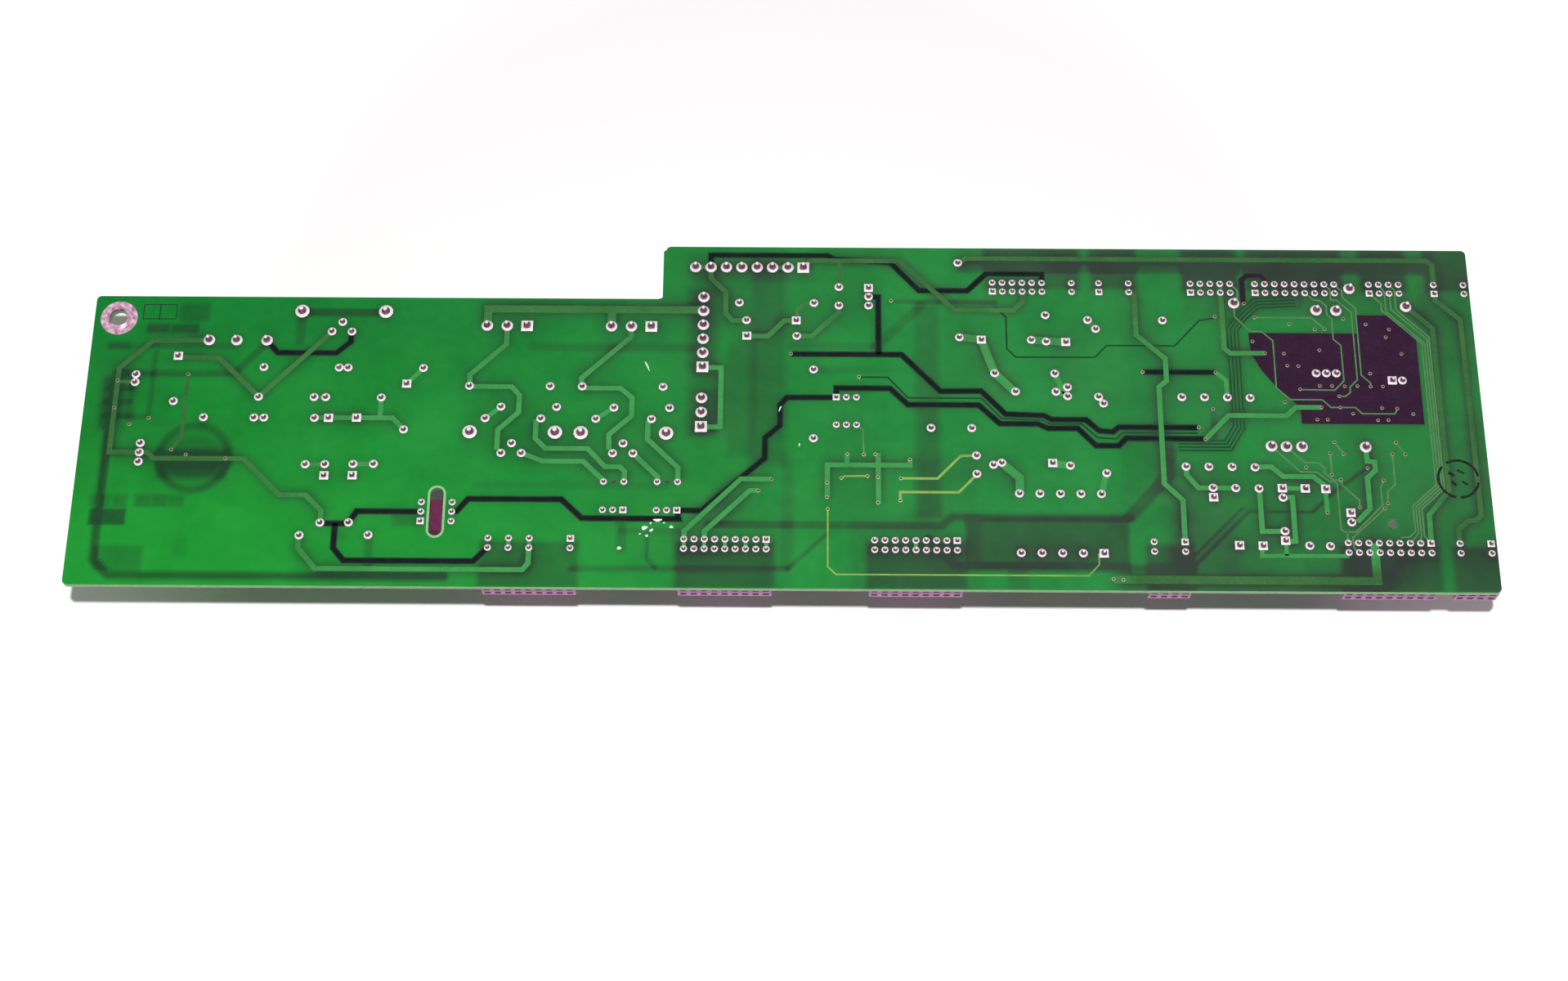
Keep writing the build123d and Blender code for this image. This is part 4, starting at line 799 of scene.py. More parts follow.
# %% Via rings
VIAS = [
    (7.8, 55.2), (7.7, 47.6), (12, 43.1), (16.7, 44.9), (25.5, 57.1), (23.2, 36.2), (27, 34.9), (37, 33.9), (178, 63.8),
    (195.2, 57.4), (203.5, 79), (170.1, 26), (173.3, 29.1), (196.3, 35.9), (192.2, 36), (199.2, 36), (207.8, 34.6),
    (187.1, 28.2), (187.1, 24.3), (187.3, 21.1), (199.8, 29.8), (199.8, 22.9), (190.7, 29.5), (197.2, 30.1),
    (205.5, 29.5), (205.3, 23.5), (267, 59.2), (285.4, 59.2), (284.2, 49), (281.8, 40.6), (280.3, 43.9), (286.1, 75),
    (293.8, 78.8), (296.3, 74.8), (295.3, 68), (298.3, 64.7), (303.1, 64.6), (303.7, 61.2), (306.5, 61.1), (305, 73),
    (311.4, 71.5), (313.9, 71.6), (312.1, 65.6), (318.9, 74.6), (324.5, 73), (330.3, 71.6), (329.3, 69.4),
    (332.9, 64.7), (324.5, 59.1), (311.5, 55.6), (314.6, 55.6), (317.8, 55.5), (321, 55.6), (324.3, 55.5),
    (327.4, 55.5), (306.5, 54.6), (316.2, 52.7), (302.4, 51), (311.5, 49.6), (316.2, 49.6), (319.3, 47.9),
    (326.7, 49.5), (330.5, 49.4), (334.4, 47.9), (310.2, 46.2), (312.8, 46.2), (325.4, 46.1), (328, 46.2), (314, 40),
    (316.1, 36.8), (312.7, 37), (312.7, 31.1), (306.4, 33.1), (321.7, 33), (314.8, 29.8), (318.9, 22.4),
    (310.8, 20.9), (325.4, 29.7), (328.2, 36.9), (326, 23.5), (325.1, 22.1), (329.3, 40), (331.4, 36.8), (257.2, 3),
    (259.6, 2.8), (228.6, 33.3), (134.1, 28.2), (147.4, 28.2),
]
BARE_HOLES = 2
VIA_STEPS = 12
# Radius and height of each ring in millimetres, and how dark it is
VIA_RINGS = np.array([(0.50, 0.0), (0.44, 0.085), (0.30, 0.085), (0.25, 0.062)]) * MM
VIA_DEPTH = np.array([0.0, 0.2, 0.6, 1.0])


def via_rings(places):
    """Corners (via, ring, step, xyz): circles of falling radius, low at the rim, high on the ring, low inside."""
    return ring_corners(places[:, None, None], VIA_RINGS[:, :1], BOARD_TOP + VIA_RINGS[:, 1:], full_turn(VIA_STEPS))


plating = Finish("via_plating", roughness=0.35, metallic=0.1)
depth = plating.field("depth")
dull = plating.tones((136, 122, 90), (186, 168, 136), plating.noise(0.6 * MM))
bright = plating.tones((176, 174, 108), (212, 206, 150), plating.noise(0.6 * MM))
sideways = plating.x / board_half
tan = plating.blend(dull, bright, sideways.step(0.02, 0.08) * (1 - sideways.step(0.55, 0.62)))
# The middle is painted dark: painted shade of the hole.
plating.set(Base_Color=plating.blend(tan, shade(40, 20, 26), depth.step(0.45, 0.6)))
via_corners = via_rings(spots(VIAS))
via_each = len(VIA_RINGS) * VIA_STEPS
via_quads = many(band_quads(len(VIA_RINGS), VIA_STEPS), via_each, len(VIAS))
inner = via_each - VIA_STEPS + np.arange(VIA_STEPS)
via_caps = many(np.stack([np.full(VIA_STEPS - 2, inner[0]), inner[1:-1], inner[2:]], axis=1), via_each, len(VIAS))
via_depth = np.tile(VIA_DEPTH[None, :, None], (len(VIAS), 1, 1))
via_depth[-BARE_HOLES:] = 1.0
add_piece("vias", via_corners, via_quads, plating, "solder", via_caps, {"depth": via_depth})
print("vias:", len(VIAS))

# %% [markdown]
# ## Slot rim, ink ring and flux
# The slot was milled after the mask was laid on, so a pale rim of bare glass runs round it. A plain ink ring, broken in
# three places with a few smears inside, marks the right end. Near the middle someone soldered by hand and left small
# white crusts of flux, and there is one scratch. The rim is a band of rings around a straight middle line, and each
# crust is a low dome.

# %% Slot rim
SLOT_LOW, SLOT_HIGH = spots([(90.4, 15.1), (90.4, 24.6)])
RIM_STEPS = 32
# Reach from the middle line and height over the board, both in millimetres
RIM_RINGS = np.array([(2.3, 0.0), (2.2, 0.03), (1.72, 0.03), (1.66, 0.0)]) * MM


def slot_rings():
    """Corners (ring, step, xyz): a circle of the ring's reach, its front half round one end, its rear half round
    the other."""
    turn = full_turn(RIM_STEPS) + math.pi / RIM_STEPS
    ends = np.where((np.sin(turn) > 0)[:, None], SLOT_HIGH, SLOT_LOW)
    return ring_corners(ends, RIM_RINGS[:, :1], BOARD_TOP + RIM_RINGS[:, 1:], turn)


glass = Finish("milled_glass", roughness=0.6)
glass.set(Base_Color=glass.tones((96, 168, 104), (158, 206, 152), glass.noise(0.8 * MM)))
rim_quads = band_quads(len(RIM_RINGS), RIM_STEPS)
slot_rim = add_piece("slot_rim", slot_rings(), rim_quads, glass, "laminate", smooth=False)
print("slot rim faces:", len(slot_rim.data.polygons))

# %% Ink ring
INK_MIDDLE = np.array([344.0, 30.2])
INK_RADIUS = 5.0
INK_ARCS = [(8, 126), (139, 262), (271, 352)]


def arc(start, end):
    """A route along a circle: the middle plus the radius times the cosine and sine of evenly spaced angles."""
    angles = np.radians(np.arange(start, end, 6.0))
    return INK_MIDDLE + INK_RADIUS * np.stack([np.cos(angles), np.sin(angles)], axis=1)


ink = Finish("dark_ink", roughness=0.5, gloss=0.06)
ink.set(Base_Color=ink.tones((20, 26, 26), (44, 56, 46), ink.noise(0.7 * MM).step(0.4, 0.7)))
SMEARS = [(0.8, [(341.6, 31.9), (343.1, 31.1)]), (0.6, [(343.9, 32.6), (345.6, 31.7)]),
          (0.8, [(342.3, 29.5), (343.4, 28.4)]), (0.6, [(344.9, 29.5), (346.3, 28.6)])]
INK_WIDTH, INK_RISE, INK_SHOULDER = 0.7, 0.075, 0.05
strokes = [(INK_WIDTH, arc(*ends)) for ends in INK_ARCS] + SMEARS
ribbon_piece("ink_ring", strokes, INK_RISE, INK_SHOULDER, ink)
print("ink strokes:", len(strokes))

# %% Flux crusts and the scratch
# Place, long and short reach in millimetres, and turn in degrees
CRUSTS = np.array([
    (145.3, 17.9, 1.25, 0.42, 2), (142.1, 15.8, 0.8, 0.55, 20), (148.7, 16.1, 0.5, 0.4, 0),
    (142.7, 13.7, 0.4, 0.35, 0), (143.8, 15.2, 0.6, 0.35, 40), (136.0, 10.4, 0.55, 0.45, 0),
    (143.6, 17.1, 0.35, 0.25, 60), (141.0, 14.2, 0.3, 0.2, 0), (146.9, 17.2, 0.3, 0.22, 20),
    (141.6, 60.1, 1.5, 0.22, -65), (175.3, 48.4, 0.9, 0.2, 70), (180.2, 38.5, 0.5, 0.2, 80),
])
CRUST_STEPS = 10
CRUST_RINGS = np.array([(1.0, 0.0), (0.8, 0.06), (0.4, 0.09)])


def crust_rings():
    """Corners (crust, ring, step, xyz): an ellipse of the ring's share of both reaches, turned, with a rim that
    wanders by a fifth as the step and the crust's number go round."""
    angle = full_turn(CRUST_STEPS)
    number = np.arange(len(CRUSTS))[:, None]
    wander = 1 + 0.2 * np.sin(3 * angle[None] + 1.7 * number)
    along = CRUSTS[:, 2, None] * np.cos(angle) * wander
    aside = CRUSTS[:, 3, None] * np.sin(angle) * wander
    lean = np.radians(CRUSTS[:, 4, None])
    turned_x = along * np.cos(lean) - aside * np.sin(lean)
    turned_y = along * np.sin(lean) + aside * np.cos(lean)
    reach = np.stack([turned_x, turned_y], axis=-1)
    flat = spots(CRUSTS[:, :2])[:, None, None] + reach[:, None] * CRUST_RINGS[None, :, None, :1] * MM
    tall = np.broadcast_to(BOARD_TOP + CRUST_RINGS[None, :, None, 1:] * MM, (*flat.shape[:3], 1))
    return np.concatenate([flat, tall], axis=-1)


flux = Finish("white_flux", roughness=0.7)
flux.set(Base_Color=flux.tones((196, 222, 200), (252, 254, 250), flux.noise(0.6 * MM)))
crust_each = len(CRUST_RINGS) * CRUST_STEPS
crust_cap = fan_quads(CRUST_STEPS) + crust_each - CRUST_STEPS
crust_faces = np.concatenate([band_quads(len(CRUST_RINGS), CRUST_STEPS), crust_cap])
add_piece("flux_crusts", crust_rings(), many(crust_faces, crust_each, len(CRUSTS)), flux, "solder")
print("crusts:", len(CRUSTS))

# %% [markdown]
# ## Finishes of the parts underneath
# The sockets are dull mauve plastic, dark inside their openings. The other parts are seen only from low down and
# from below: black moulded resin, tinned legs, pale header plastic, a grey ferrite core, yellow tape.


# %% Plain moulded finishes
def moulded(name, dark, light, roughness, size=1.5, coat=0.0, metallic=0.0):
    """Two close colours mixed by blotches, with a roughness that wanders and a fine moulded grain."""
    finish = Finish(name, roughness=roughness, metallic=metallic, coat=coat, gloss=0.2)
    blotches = finish.noise(size * MM) * 0.6 + finish.noise(size * 6 * MM) * 0.4
    finish.set(Base_Color=finish.tones(dark, light, blotches.contrast()))
    finish.set(Roughness=roughness - 0.08 + blotches * 0.16)
    finish.bump(finish.noise(0.25 * MM), 0.01 * MM, 0.35)
    return finish


LEG_NODES = ["front_tails", "rear_tails", "header_posts", "device_legs", "chip_legs"]
RESIN_NODES = ["device_body_left", "device_body_right", "controller", "transistors"]
METAL_NODES = ["device_tab_left", "device_tab_right", "crystal"]
tinned = moulded("tinned_wire", (150, 146, 142), (206, 202, 196), 0.32, 0.8, metallic=0.9)
dress(tinned, *LEG_NODES)
dress(moulded("mauve_plastic", (190, 128, 178), (212, 150, 198), 0.55), *HOUSING_NODES)
dress(moulded("pale_header_plastic", (206, 200, 182), (226, 220, 204), 0.5), *HEADER_NODES)
dress(moulded("black_resin", (18, 18, 20), (36, 36, 38), 0.55), *RESIN_NODES)
dress(moulded("plum_resin", (82, 20, 58), (104, 32, 74), 0.5), "chip_bodies")
dress(moulded("plated_tab", (142, 142, 140), (188, 188, 184), 0.36, 2.5, metallic=0.85), *METAL_NODES)
dress(moulded("capacitor_case", (176, 138, 46), (204, 166, 68), 0.42, coat=0.2), "line_capacitor", "box_capacitors")
dress(moulded("grey_ferrite", (34, 34, 36), (58, 58, 60), 0.62), "transformer_core")
dress(moulded("bobbin_plastic", (26, 26, 28), (44, 44, 46), 0.5), "transformer_bobbin")
dress(moulded("winding_tape", (186, 150, 36), (214, 182, 62), 0.3, 4.0, coat=0.3), "transformer_winding")
ring_metal = moulded("ring_solder", (150, 98, 134), (226, 192, 210), 0.34, 1.2, metallic=0.15)
# Painted reflection: the flat face is painted light, the sloped solder round the hole painted dark like a joint's
# flank.
ring_grain = ring_metal.noise(1.2 * MM).step(0.35, 0.65)
ring_flat = ring_metal.tones((168, 112, 148), (228, 196, 212), ring_grain)
ring_slope = ring_metal.tones((88, 40, 68), (176, 128, 156), ring_grain)
ring_metal.set(Base_Color=ring_metal.blend(ring_slope, ring_flat, ring_metal.facing("Z").step(0.6, 0.97)))
dress(ring_metal, "mounting_ring")
print("finishes on", len(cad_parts), "nodes")

# %% [markdown]
# ## Wire-ended parts
# Resistors and diodes lie under the board. Each is a small barrel with a lead from each end, which runs straight out,
# bends up and goes through its hole to a joint on top. The CAD solids say where each barrel lies, how long it is and
# how thick. A barrel and a lead are both a row of rings, so one function of whole arrays draws them all.


# %% Solids of a node
def solids(node):
    """The corners of each separate solid of a node: the corners of a face all take the lowest label among them, again
    and again, until no label changes."""
    faces = np.round(node_faces(node), 6)
    points, corner = np.unique(faces.reshape(-1, 3), axis=0, return_inverse=True)
    corner = corner.reshape(-1, 3)
    label, before = np.arange(len(points)), np.zeros(len(points), int) - 1
    while (label != before).any():
        before = label.copy()
        np.minimum.at(label, corner, before[corner].min(axis=1, keepdims=True))
    return [points[label == each] for each in np.unique(label)]


EIGHT_SIDES = math.cos(math.pi / 8)


def lying_bodies(node):
    """Middle, direction, length and radius of each lying body: it spreads most along its direction, and its eight
    flats are nearer than its corners by the cosine of a sixteenth of a turn."""
    rows = []
    for points in solids(node):
        spread = points - points.mean(axis=0)
        direction = np.linalg.eigh(spread.T @ spread)[1][:, -1]
        direction *= np.sign(direction.sum())
        along = spread @ direction
        corner_reach = np.linalg.norm(spread - along[:, None] * direction, axis=1).max()
        rows.append((points.mean(axis=0), direction, 2 * along.max(), corner_reach * EIGHT_SIDES))
    return [np.array(column) for column in zip(*rows)]


def round_rings(middles, heading, side, reach, steps):
    """Corners (part, ring, step, xyz): a circle of the ring's reach about its middle, square to its heading."""
    turn = full_turn(steps)[:, None]
    other = np.cross(heading, side)
    circle = np.cos(turn) * side[..., None, :] + np.sin(turn) * other[..., None, :]
    return middles[..., None, :] + reach[..., None, None] * circle


def barrel_piece(name, rings, finish, slot, **settings):
    """One closed barrel for each part of an array of rings (part, ring, step, xyz)."""
    count, levels, steps = rings.shape[:3]
    quads = many(closed_quads(levels, steps), levels * steps, count)
    return add_piece(name, rings, quads, finish, slot, **settings)


AXIAL_NODES = ["resistors", "power_resistors", "diodes"]
lying = {node: lying_bodies(node) for node in AXIAL_NODES}
UP = np.array([0.0, 0.0, 1.0])
print("lying bodies:", {node: len(rows[0]) for node, rows in lying.items()})

# %% Barrels
BARREL_STEPS = 12
WAIST = 0.28
BAND_EDGE = 0.012
# Share of the length from the middle, share of the radius
BARREL = np.array([(-0.5, 0.4), (-0.5, 0.8), (-0.45, 1.0), (-0.3, 1.0), (-0.26, 0.9),
                   (0.26, 0.9), (0.3, 1.0), (0.45, 1.0), (0.5, 0.8), (0.5, 0.4)])


def barrels(node, waist, finish, slot):
    """Rings along each lying body: its middle plus a share of its length, as wide as a share of its radius."""
    middle, direction, length, radius = lying[node]
    along = BARREL[:, 0]
    share = np.where(abs(along) < WAIST, waist, BARREL[:, 1])
    middles = middle[:, None] + direction[:, None] * (length[:, None] * along)[..., None]
    heading = np.broadcast_to(direction[:, None], middles.shape)
    rings = round_rings(middles, heading, np.cross(UP, heading), radius[:, None] * share, BARREL_STEPS)
    number = np.arange(len(middle)) % 3 / 2
    fields = {"along": along[:, None], "number": number[:, None, None]}
    barrel_piece(node + "_rounded", rings, finish, slot, fields=fields, stands_for=node)


def banded(finish, dark, light, bands):
    """A mottled body colour with rings of other colours, each at a share of the length and with a half width."""
    colour = finish.tones(dark, light, finish.noise(1.5 * MM).contrast())
    for share, half, paint in bands:
        off = abs(finish.field("along") - share).step(half, half + BAND_EDGE)
        colour = finish.blend(paint, colour, off)
    return finish.set(Base_Color=colour)


lacquer = Finish("resistor_lacquer", roughness=0.4, coat=0.3)
number = lacquer.field("number")
banded(lacquer, (170, 146, 106), (200, 176, 134), [
    (-0.36, 0.035, lacquer.tones((96, 54, 30), (206, 110, 40), number)),
    (-0.16, 0.03, lacquer.tones((28, 26, 28), (120, 62, 130), number)),
    (0.02, 0.03, lacquer.tones((150, 40, 36), (212, 190, 60), number)),
    (0.34, 0.035, shade(176, 136, 62)),
])
barrels("resistors", 0.9, lacquer, "resistor_coat")
barrels("power_resistors", 1.0, moulded("cement_coat", (84, 104, 84), (116, 136, 112), 0.7), "cement_coat")
diode_resin = Finish("diode_resin", roughness=0.45)
banded(diode_resin, (18, 18, 20), (36, 36, 38), [(0.3, 0.07, shade(196, 194, 190))])
barrels("diodes", 1.0, diode_resin, "black_resin")
print("rounded:", AXIAL_NODES)

# %% Bent leads
WIRE = 0.3 * MM
WIRE_STEPS = 6
INTO_BOARD = 0.4 * MM
BEND_SHARE = 0.8
# Body length and lead span in millimetres
LEAD_SPANS = {10.0: 19.1, 6.8: 14.0, 6.2: 12.7, 12.0: 20.4, 15.0: 21.4, 4.6: 12.7, 8.5: 15.3}
BEND = np.radians([0, 30, 60, 90])


def lead_rings(node, end):
    """Rings from inside the body straight out, round a quarter turn by sine and cosine, and up into the board; end is
    1 or -1 for the two ends of the body."""
    middle, direction, length, radius = (column[:, None] for column in lying[node])
    span = np.array([LEAD_SPANS[round(float(each) / MM, 1)] for each in length[:, 0]])[:, None] * MM
    bend = radius * BEND_SHARE
    out = np.concatenate([length / 2 - WIRE, span / 2 - bend + bend * np.sin(BEND), span / 2], axis=1)
    rise = np.concatenate([0 * bend, bend * (1 - np.cos(BEND)), UNDERSIDE + INTO_BOARD - middle[..., 2]], axis=1)
    level = np.concatenate([[1.0], np.cos(BEND), [0.0]])[:, None]
    steep = np.concatenate([[0.0], np.sin(BEND), [1.0]])[:, None]
    heading = level * direction * end + steep * UP
    side = np.broadcast_to(np.cross(UP, direction * end), heading.shape)
    middles = middle + out[..., None] * direction * end + rise[..., None] * UP
    return round_rings(middles, heading, side, np.full(out.shape, WIRE), WIRE_STEPS)


lead_all = np.concatenate([lead_rings(node, end) for node in AXIAL_NODES for end in (1, -1)])
barrel_piece("axial_leads", lead_all, tinned, "tinned_wire")
print("leads:", len(lead_all))

# %% [markdown]
# ## Cans, choke and controller leads
# A can is an aluminium cup in a dark sleeve: bare at its free end, crimped near the board, with a pale stripe down one
# side. The choke is a ferrite ring wound with enamelled wire, and its surface simply swells once per turn. The square
# controller stands on short bent leads, eleven to a side.

# %% Cans
CAN_STEPS = 20
# Share of the height from the free end, share of the radius
CAN = np.array([(0.02, 0.5), (0.02, 0.82), (0.0, 0.86), (0.0, 0.94), (0.03, 1.0), (0.74, 1.0), (0.78, 0.93),
                (0.82, 0.93), (0.86, 1.0), (0.97, 1.0), (1.0, 0.94)])
can_points = solids("can_capacitors")
can_low = np.array([points.min(axis=0) for points in can_points])
can_high = np.array([points.max(axis=0) for points in can_points])
can_foot = (can_low + can_high) / 2 * (1 - UP) + can_low * UP
can_middles = can_foot[:, None] + UP * ((can_high - can_low)[:, 2:] * CAN[:, 0])[..., None]
can_radius = (can_high - can_low)[:, :2].min(axis=1, keepdims=True) / 2
can_heading = np.broadcast_to(UP, can_middles.shape)
can_side = np.broadcast_to([1.0, 0.0, 0.0], can_middles.shape)
can_rings = round_rings(can_middles, can_heading, can_side, can_radius * CAN[:, 1], CAN_STEPS)
can_stripe = np.cos(full_turn(CAN_STEPS))
sleeve = Finish("can_sleeve", roughness=0.35, coat=0.3)
stripe = sleeve.field("stripe").step(0.93, 0.95) * sleeve.field("level").step(0.04, 0.05)
blue = sleeve.tones((20, 24, 40), (34, 40, 62), sleeve.noise(2 * MM))
wrapped = sleeve.blend(blue, shade(176, 182, 190), stripe)
bare_end = 1 - sleeve.field("reach").step(0.83, 0.85)
sleeve.set(Base_Color=sleeve.blend(wrapped, shade(176, 176, 174), bare_end), Metallic=bare_end * 0.8)
can_fields = {"level": CAN[:, :1], "reach": CAN[:, 1:], "stripe": can_stripe}
barrel_piece("can_capacitors_rounded", can_rings, sleeve, "can_sleeve", fields=can_fields, stands_for="can_capacitors")
print("cans:", len(can_rings))

# %% Choke winding
CHOKE_TURNS = 30
STEPS_A_TURN = 4
SECTION_STEPS = 16
CHOKE_BORE = 9.0 * MM
CHOKE_WIRE = 0.5 * MM
UNWOUND = 0.3


def choke_shape():
    """Corners (place round the ring, step round the section, xyz), how far each place is up a turn of wire, and where
    wire is: a squarish oval, from roots of cosine and sine, carried round and swollen by a squared sine per turn."""
    low, high = (np.array(corner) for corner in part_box("choke"))
    around = full_turn(CHOKE_TURNS * STEPS_A_TURN)[:, None]
    angle = full_turn(SECTION_STEPS)
    wound = (abs(around - math.pi) < math.pi - UNWOUND) * 1.0
    swell = wound * np.sin(around * CHOKE_TURNS / 2) ** 2
    outer = (high - low)[:2].min() / 2
    spare = CHOKE_WIRE * (1 - swell)
    wide = (outer - CHOKE_BORE / 2) / 2 - spare
    tall = (high - low)[2] / 2 - spare
    from_axis = (outer + CHOKE_BORE / 2) / 2 + wide * np.sign(np.cos(angle)) * abs(np.cos(angle)) ** 0.5
    drop = tall * np.sign(np.sin(angle)) * abs(np.sin(angle)) ** 0.5
    middle = (low + high) / 2
    return ring_corners(middle, from_axis, middle[2] - drop, around), swell, wound


choke_corners, choke_swell, choke_wound = choke_shape()
choke_quads = band_quads(len(choke_corners) + 1, SECTION_STEPS) % (choke_corners.size // 3)
enamel = Finish("wire_enamel", roughness=0.35, coat=0.3)
# Painted shade and highlight: the wire is painted dark in the grooves between turns and bright on each crest.
copper = enamel.tones((70, 34, 22), (186, 106, 60), enamel.field("swell").step(0.1, 0.8))
core_grey = enamel.tones((34, 34, 36), (58, 58, 60), enamel.noise(1.5 * MM))
enamel.set(Base_Color=enamel.blend(core_grey, copper, enamel.field("wound")))
add_piece("choke_wound", choke_corners, choke_quads, enamel, "ferrite",
          fields={"swell": choke_swell, "wound": choke_wound}, stands_for="choke")
print("choke turns:", CHOKE_TURNS)

# %% Controller leads
LEADS_A_SIDE = 11
LEAD_PITCH = 1.27 * MM
# Along the side and out from it, in millimetres, anticlockwise
LEAD_SECTION = np.array([(-0.25, -0.1), (0.25, -0.1), (0.25, 0.2), (-0.25, 0.2)]) * MM


def controller_leads():
    """Corners (lead, end, corner, xyz): a small oblong section set a pitch apart along each side of the body, once at
    the body's middle height and once at the board."""
    low, high = (np.array(corner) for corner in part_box("controller"))
    middle = (low + high) / 2
    half = (high - low)[0] / 2
    out = np.array([(0, -1), (1, 0), (0, 1), (-1, 0)])[:, None, None, None]
    along = np.stack([out[..., 1], -out[..., 0]], axis=-1)
    shift = ((np.arange(LEADS_A_SIDE) - (LEADS_A_SIDE - 1) / 2) * LEAD_PITCH)[:, None, None]
    flat = middle[:2] + along * (shift + LEAD_SECTION[:, 0])[..., None] + out * (half + LEAD_SECTION[:, 1])[:, None]
    level = np.array([middle[2], UNDERSIDE])[:, None]
    tall = np.broadcast_to(level, (4, LEADS_A_SIDE, 2, 4))
    leads = np.concatenate([np.broadcast_to(flat, (*tall.shape, 2)), tall[..., None]], axis=-1)
    return leads.reshape(-1, 2, 4, 3)


square_leads = controller_leads()
barrel_piece("controller_leads", square_leads, tinned, "tinned_wire", smooth=False)
print("controller leads:", len(square_leads))

# %% [markdown]
# ## Dark throats in the sockets
# A socket's openings are deep, and almost no light comes back out of them. A dark square a little way inside each
# opening gives that depth. The socket's own box says how many columns it has, where its middle height lies and which
# way it faces.

# %% Throats
PITCH = 2.54 * MM
END_WALLS = 0.2 * MM
THROAT_HALF = np.array([0.76, 0.71]) * MM
THROAT_SINK = 0.06 * MM


def throat_corners(node):
    """Four corners for each opening: columns one pitch apart about the middle, rows half a pitch above and below it."""
    low, high = (np.array(corner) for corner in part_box(node))
    columns = round((high[0] - low[0] - END_WALLS) / PITCH)
    x = (low[0] + high[0]) / 2 + (np.arange(columns) - (columns - 1) / 2) * PITCH
    z = (low[2] + high[2]) / 2 + np.array([-0.5, 0.5]) * PITCH
    middle_x, middle_z = (grid.ravel()[:, None] for grid in np.meshgrid(x, z))
    facing = 1 if node.startswith("front") else -1
    wall = low[1] + THROAT_SINK if facing == 1 else high[1] - THROAT_SINK
    side = np.array([-1, 1, 1, -1]) * THROAT_HALF[0] * facing
    rise = np.array([-1, -1, 1, 1]) * THROAT_HALF[1]
    corners = np.stack([middle_x + side, np.full((len(middle_x), 4), wall), middle_z + rise], axis=-1)
    return corners.reshape(-1, 3)


throat_dark = moulded("throat_shadow", (58, 22, 44), (80, 34, 70), 0.6, 1.0)
throat_all = np.concatenate([throat_corners(node) for node in HOUSING_NODES])
throat_quads = np.arange(len(throat_all)).reshape(-1, 4)
add_piece("socket_throats", throat_all, throat_quads, throat_dark, "socket_plastic", smooth=False)
print("throats:", len(throat_quads))

# %% [markdown]
# ## Camera, light and floor
# The photograph looks down at about 66 degrees with a moderate lens, nearly square to the long edge. The camera's
# place and turn were fitted to the joints' known pitches. One fairly small lamp stands above the camera, as a flash
# does, so the shadow hides behind the board except for a dark strip below the front edge. A dim warm sky fills the
# rest. The lamp's light fades with distance, so the paper glows a little where the camera or a mirror sees it, more
# the further out, and the backdrop is plain white. None of that glow lights the object's matt faces.

# %% Camera
IMAGE_WIDTH = 1918
FOCAL_PIXELS = 3138
SENSOR = 36.0
CAMERA_PLACE = np.array([179.0, -223.8, 585.4]) * MM
FORWARD = np.array([-0.0040, 0.3925, -0.9197])
RIGHT = np.array([1.0, 0.0069, -0.0015])
corner_front_left = np.array([board_low[0], board_low[1], BOARD_TOP])
forward = FORWARD / np.linalg.norm(FORWARD)
right = RIGHT - forward * (RIGHT @ forward)
right /= np.linalg.norm(right)
upward = np.cross(right, forward)
camera_data = bpy.data.cameras.new("camera")
camera_data.lens = FOCAL_PIXELS / IMAGE_WIDTH * SENSOR
camera_data.sensor_width = SENSOR
camera_data.clip_start = 0.01
camera = bpy.data.objects.new("camera", camera_data)
turn = np.eye(4)
turn[:3, :3] = np.stack([right, upward, -forward], axis=1)
turn[:3, 3] = corner_front_left + CAMERA_PLACE
camera.matrix_world = Matrix(turn.tolist())
bpy.context.scene.collection.objects.link(camera)
bpy.context.scene.camera = camera
print("lens", round(camera_data.lens, 2), "mm")

# %% Lamp and sky
LAMP_PLACE = (0.003, -0.214, 1.0)
LAMP_SIZE = 0.045
LAMP_WATTS = 10.4
SKY = 0.07
SKY_COLOUR = (1.0, 0.70, 0.74, 1.0)
WHITE = (1.0, 1.0, 1.0, 1.0)
SEEN_BY = ("Is Camera Ray", "Is Glossy Ray", "Is Transmission Ray")
lamp_data = bpy.data.lights.new("lamp", "AREA")
lamp_data.shape = "DISK"
lamp_data.size = LAMP_SIZE
lamp_data.energy = LAMP_WATTS
lamp = bpy.data.objects.new("lamp", lamp_data)
lamp.location = LAMP_PLACE
lamp.rotation_euler = (math.atan2(LAMP_PLACE[1], LAMP_PLACE[2]) * -1, 0, 0)
bpy.context.scene.collection.objects.link(lamp)
world = bpy.data.worlds.new("sky")
bpy.context.scene.world = world
world.use_nodes = True
sky = world.node_tree.nodes["Background"]
sky.inputs["Color"].default_value = SKY_COLOUR
sky.inputs["Strength"].default_value = SKY
white = world.node_tree.nodes.new("ShaderNodeBackground")
white.inputs["Color"].default_value = WHITE
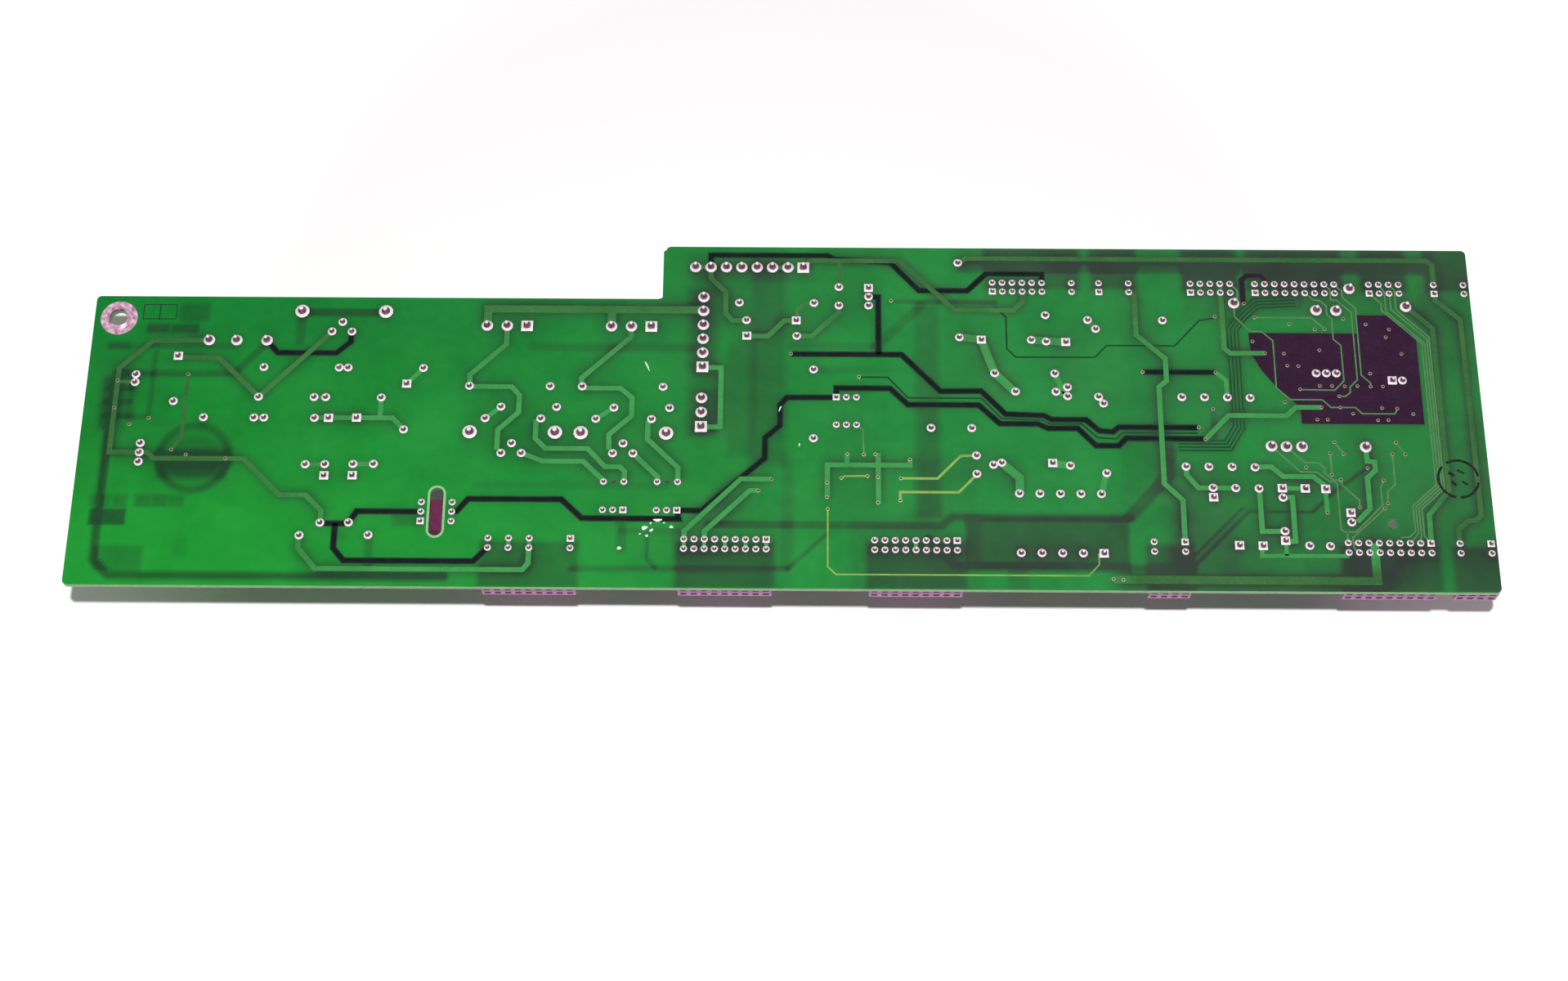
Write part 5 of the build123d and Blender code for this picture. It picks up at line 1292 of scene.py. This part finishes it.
choice = world.node_tree.nodes.new("ShaderNodeMixShader")
sky_path = world.node_tree.nodes.new("ShaderNodeLightPath")
shown = sky_path.outputs[SEEN_BY[0]]
for ray in SEEN_BY[1:]:
    either = world.node_tree.nodes.new("ShaderNodeMath")
    either.operation = "MAXIMUM"
    world.node_tree.links.new(shown, either.inputs[0])
    world.node_tree.links.new(sky_path.outputs[ray], either.inputs[1])
    shown = either.outputs[0]
world.node_tree.links.new(shown, choice.inputs[0])
world.node_tree.links.new(sky.outputs[0], choice.inputs[1])
world.node_tree.links.new(white.outputs[0], choice.inputs[2])
world.node_tree.links.new(choice.outputs[0], world.node_tree.nodes["World Output"].inputs["Surface"])
print("lamp", LAMP_WATTS, "W, sky", SKY)

# %% Floor
FLOOR_HALF = 4.0
FLOOR_LIFT = 0.05
LIFT_REACH = (0.14, 0.5)
BLACK = (0.0, 0.0, 0.0, 1.0)
floor_corners = np.array([(-1, -1, 0), (1, -1, 0), (1, 1, 0), (-1, 1, 0)]) * FLOOR_HALF
floor_mesh = bpy.data.meshes.new("floor")
floor_mesh.from_pydata(floor_corners.tolist(), [], [(0, 1, 2, 3)])
floor = bpy.data.objects.new("floor", floor_mesh)
bpy.context.scene.collection.objects.link(floor)
paper = Finish("white_paper", roughness=0.9)
paper.set(Base_Color=(0.96, 0.96, 0.96, 1.0))
reach = paper.node("ShaderNodeVectorMath", {"operation": "LENGTH"}, {0: paper.place}, "Value")
near_lift = (FLOOR_LIFT, FLOOR_LIFT, FLOOR_LIFT, 1.0)
camera_ray, glossy_ray, clear_ray = (paper.node("ShaderNodeLightPath", {}, {}, ray) for ray in SEEN_BY)
seen = (camera_ray + glossy_ray + clear_ray).limit()
lift = paper.blend(near_lift, WHITE, reach.step(*LIFT_REACH))
paper.set(Emission_Color=paper.blend(BLACK, lift, seen), Emission_Strength=1.0)
floor_mesh.materials.append(paper.material)
bpy.context.scene.view_settings.view_transform = "Standard"
print("floor", 2 * FLOOR_HALF, "m wide")
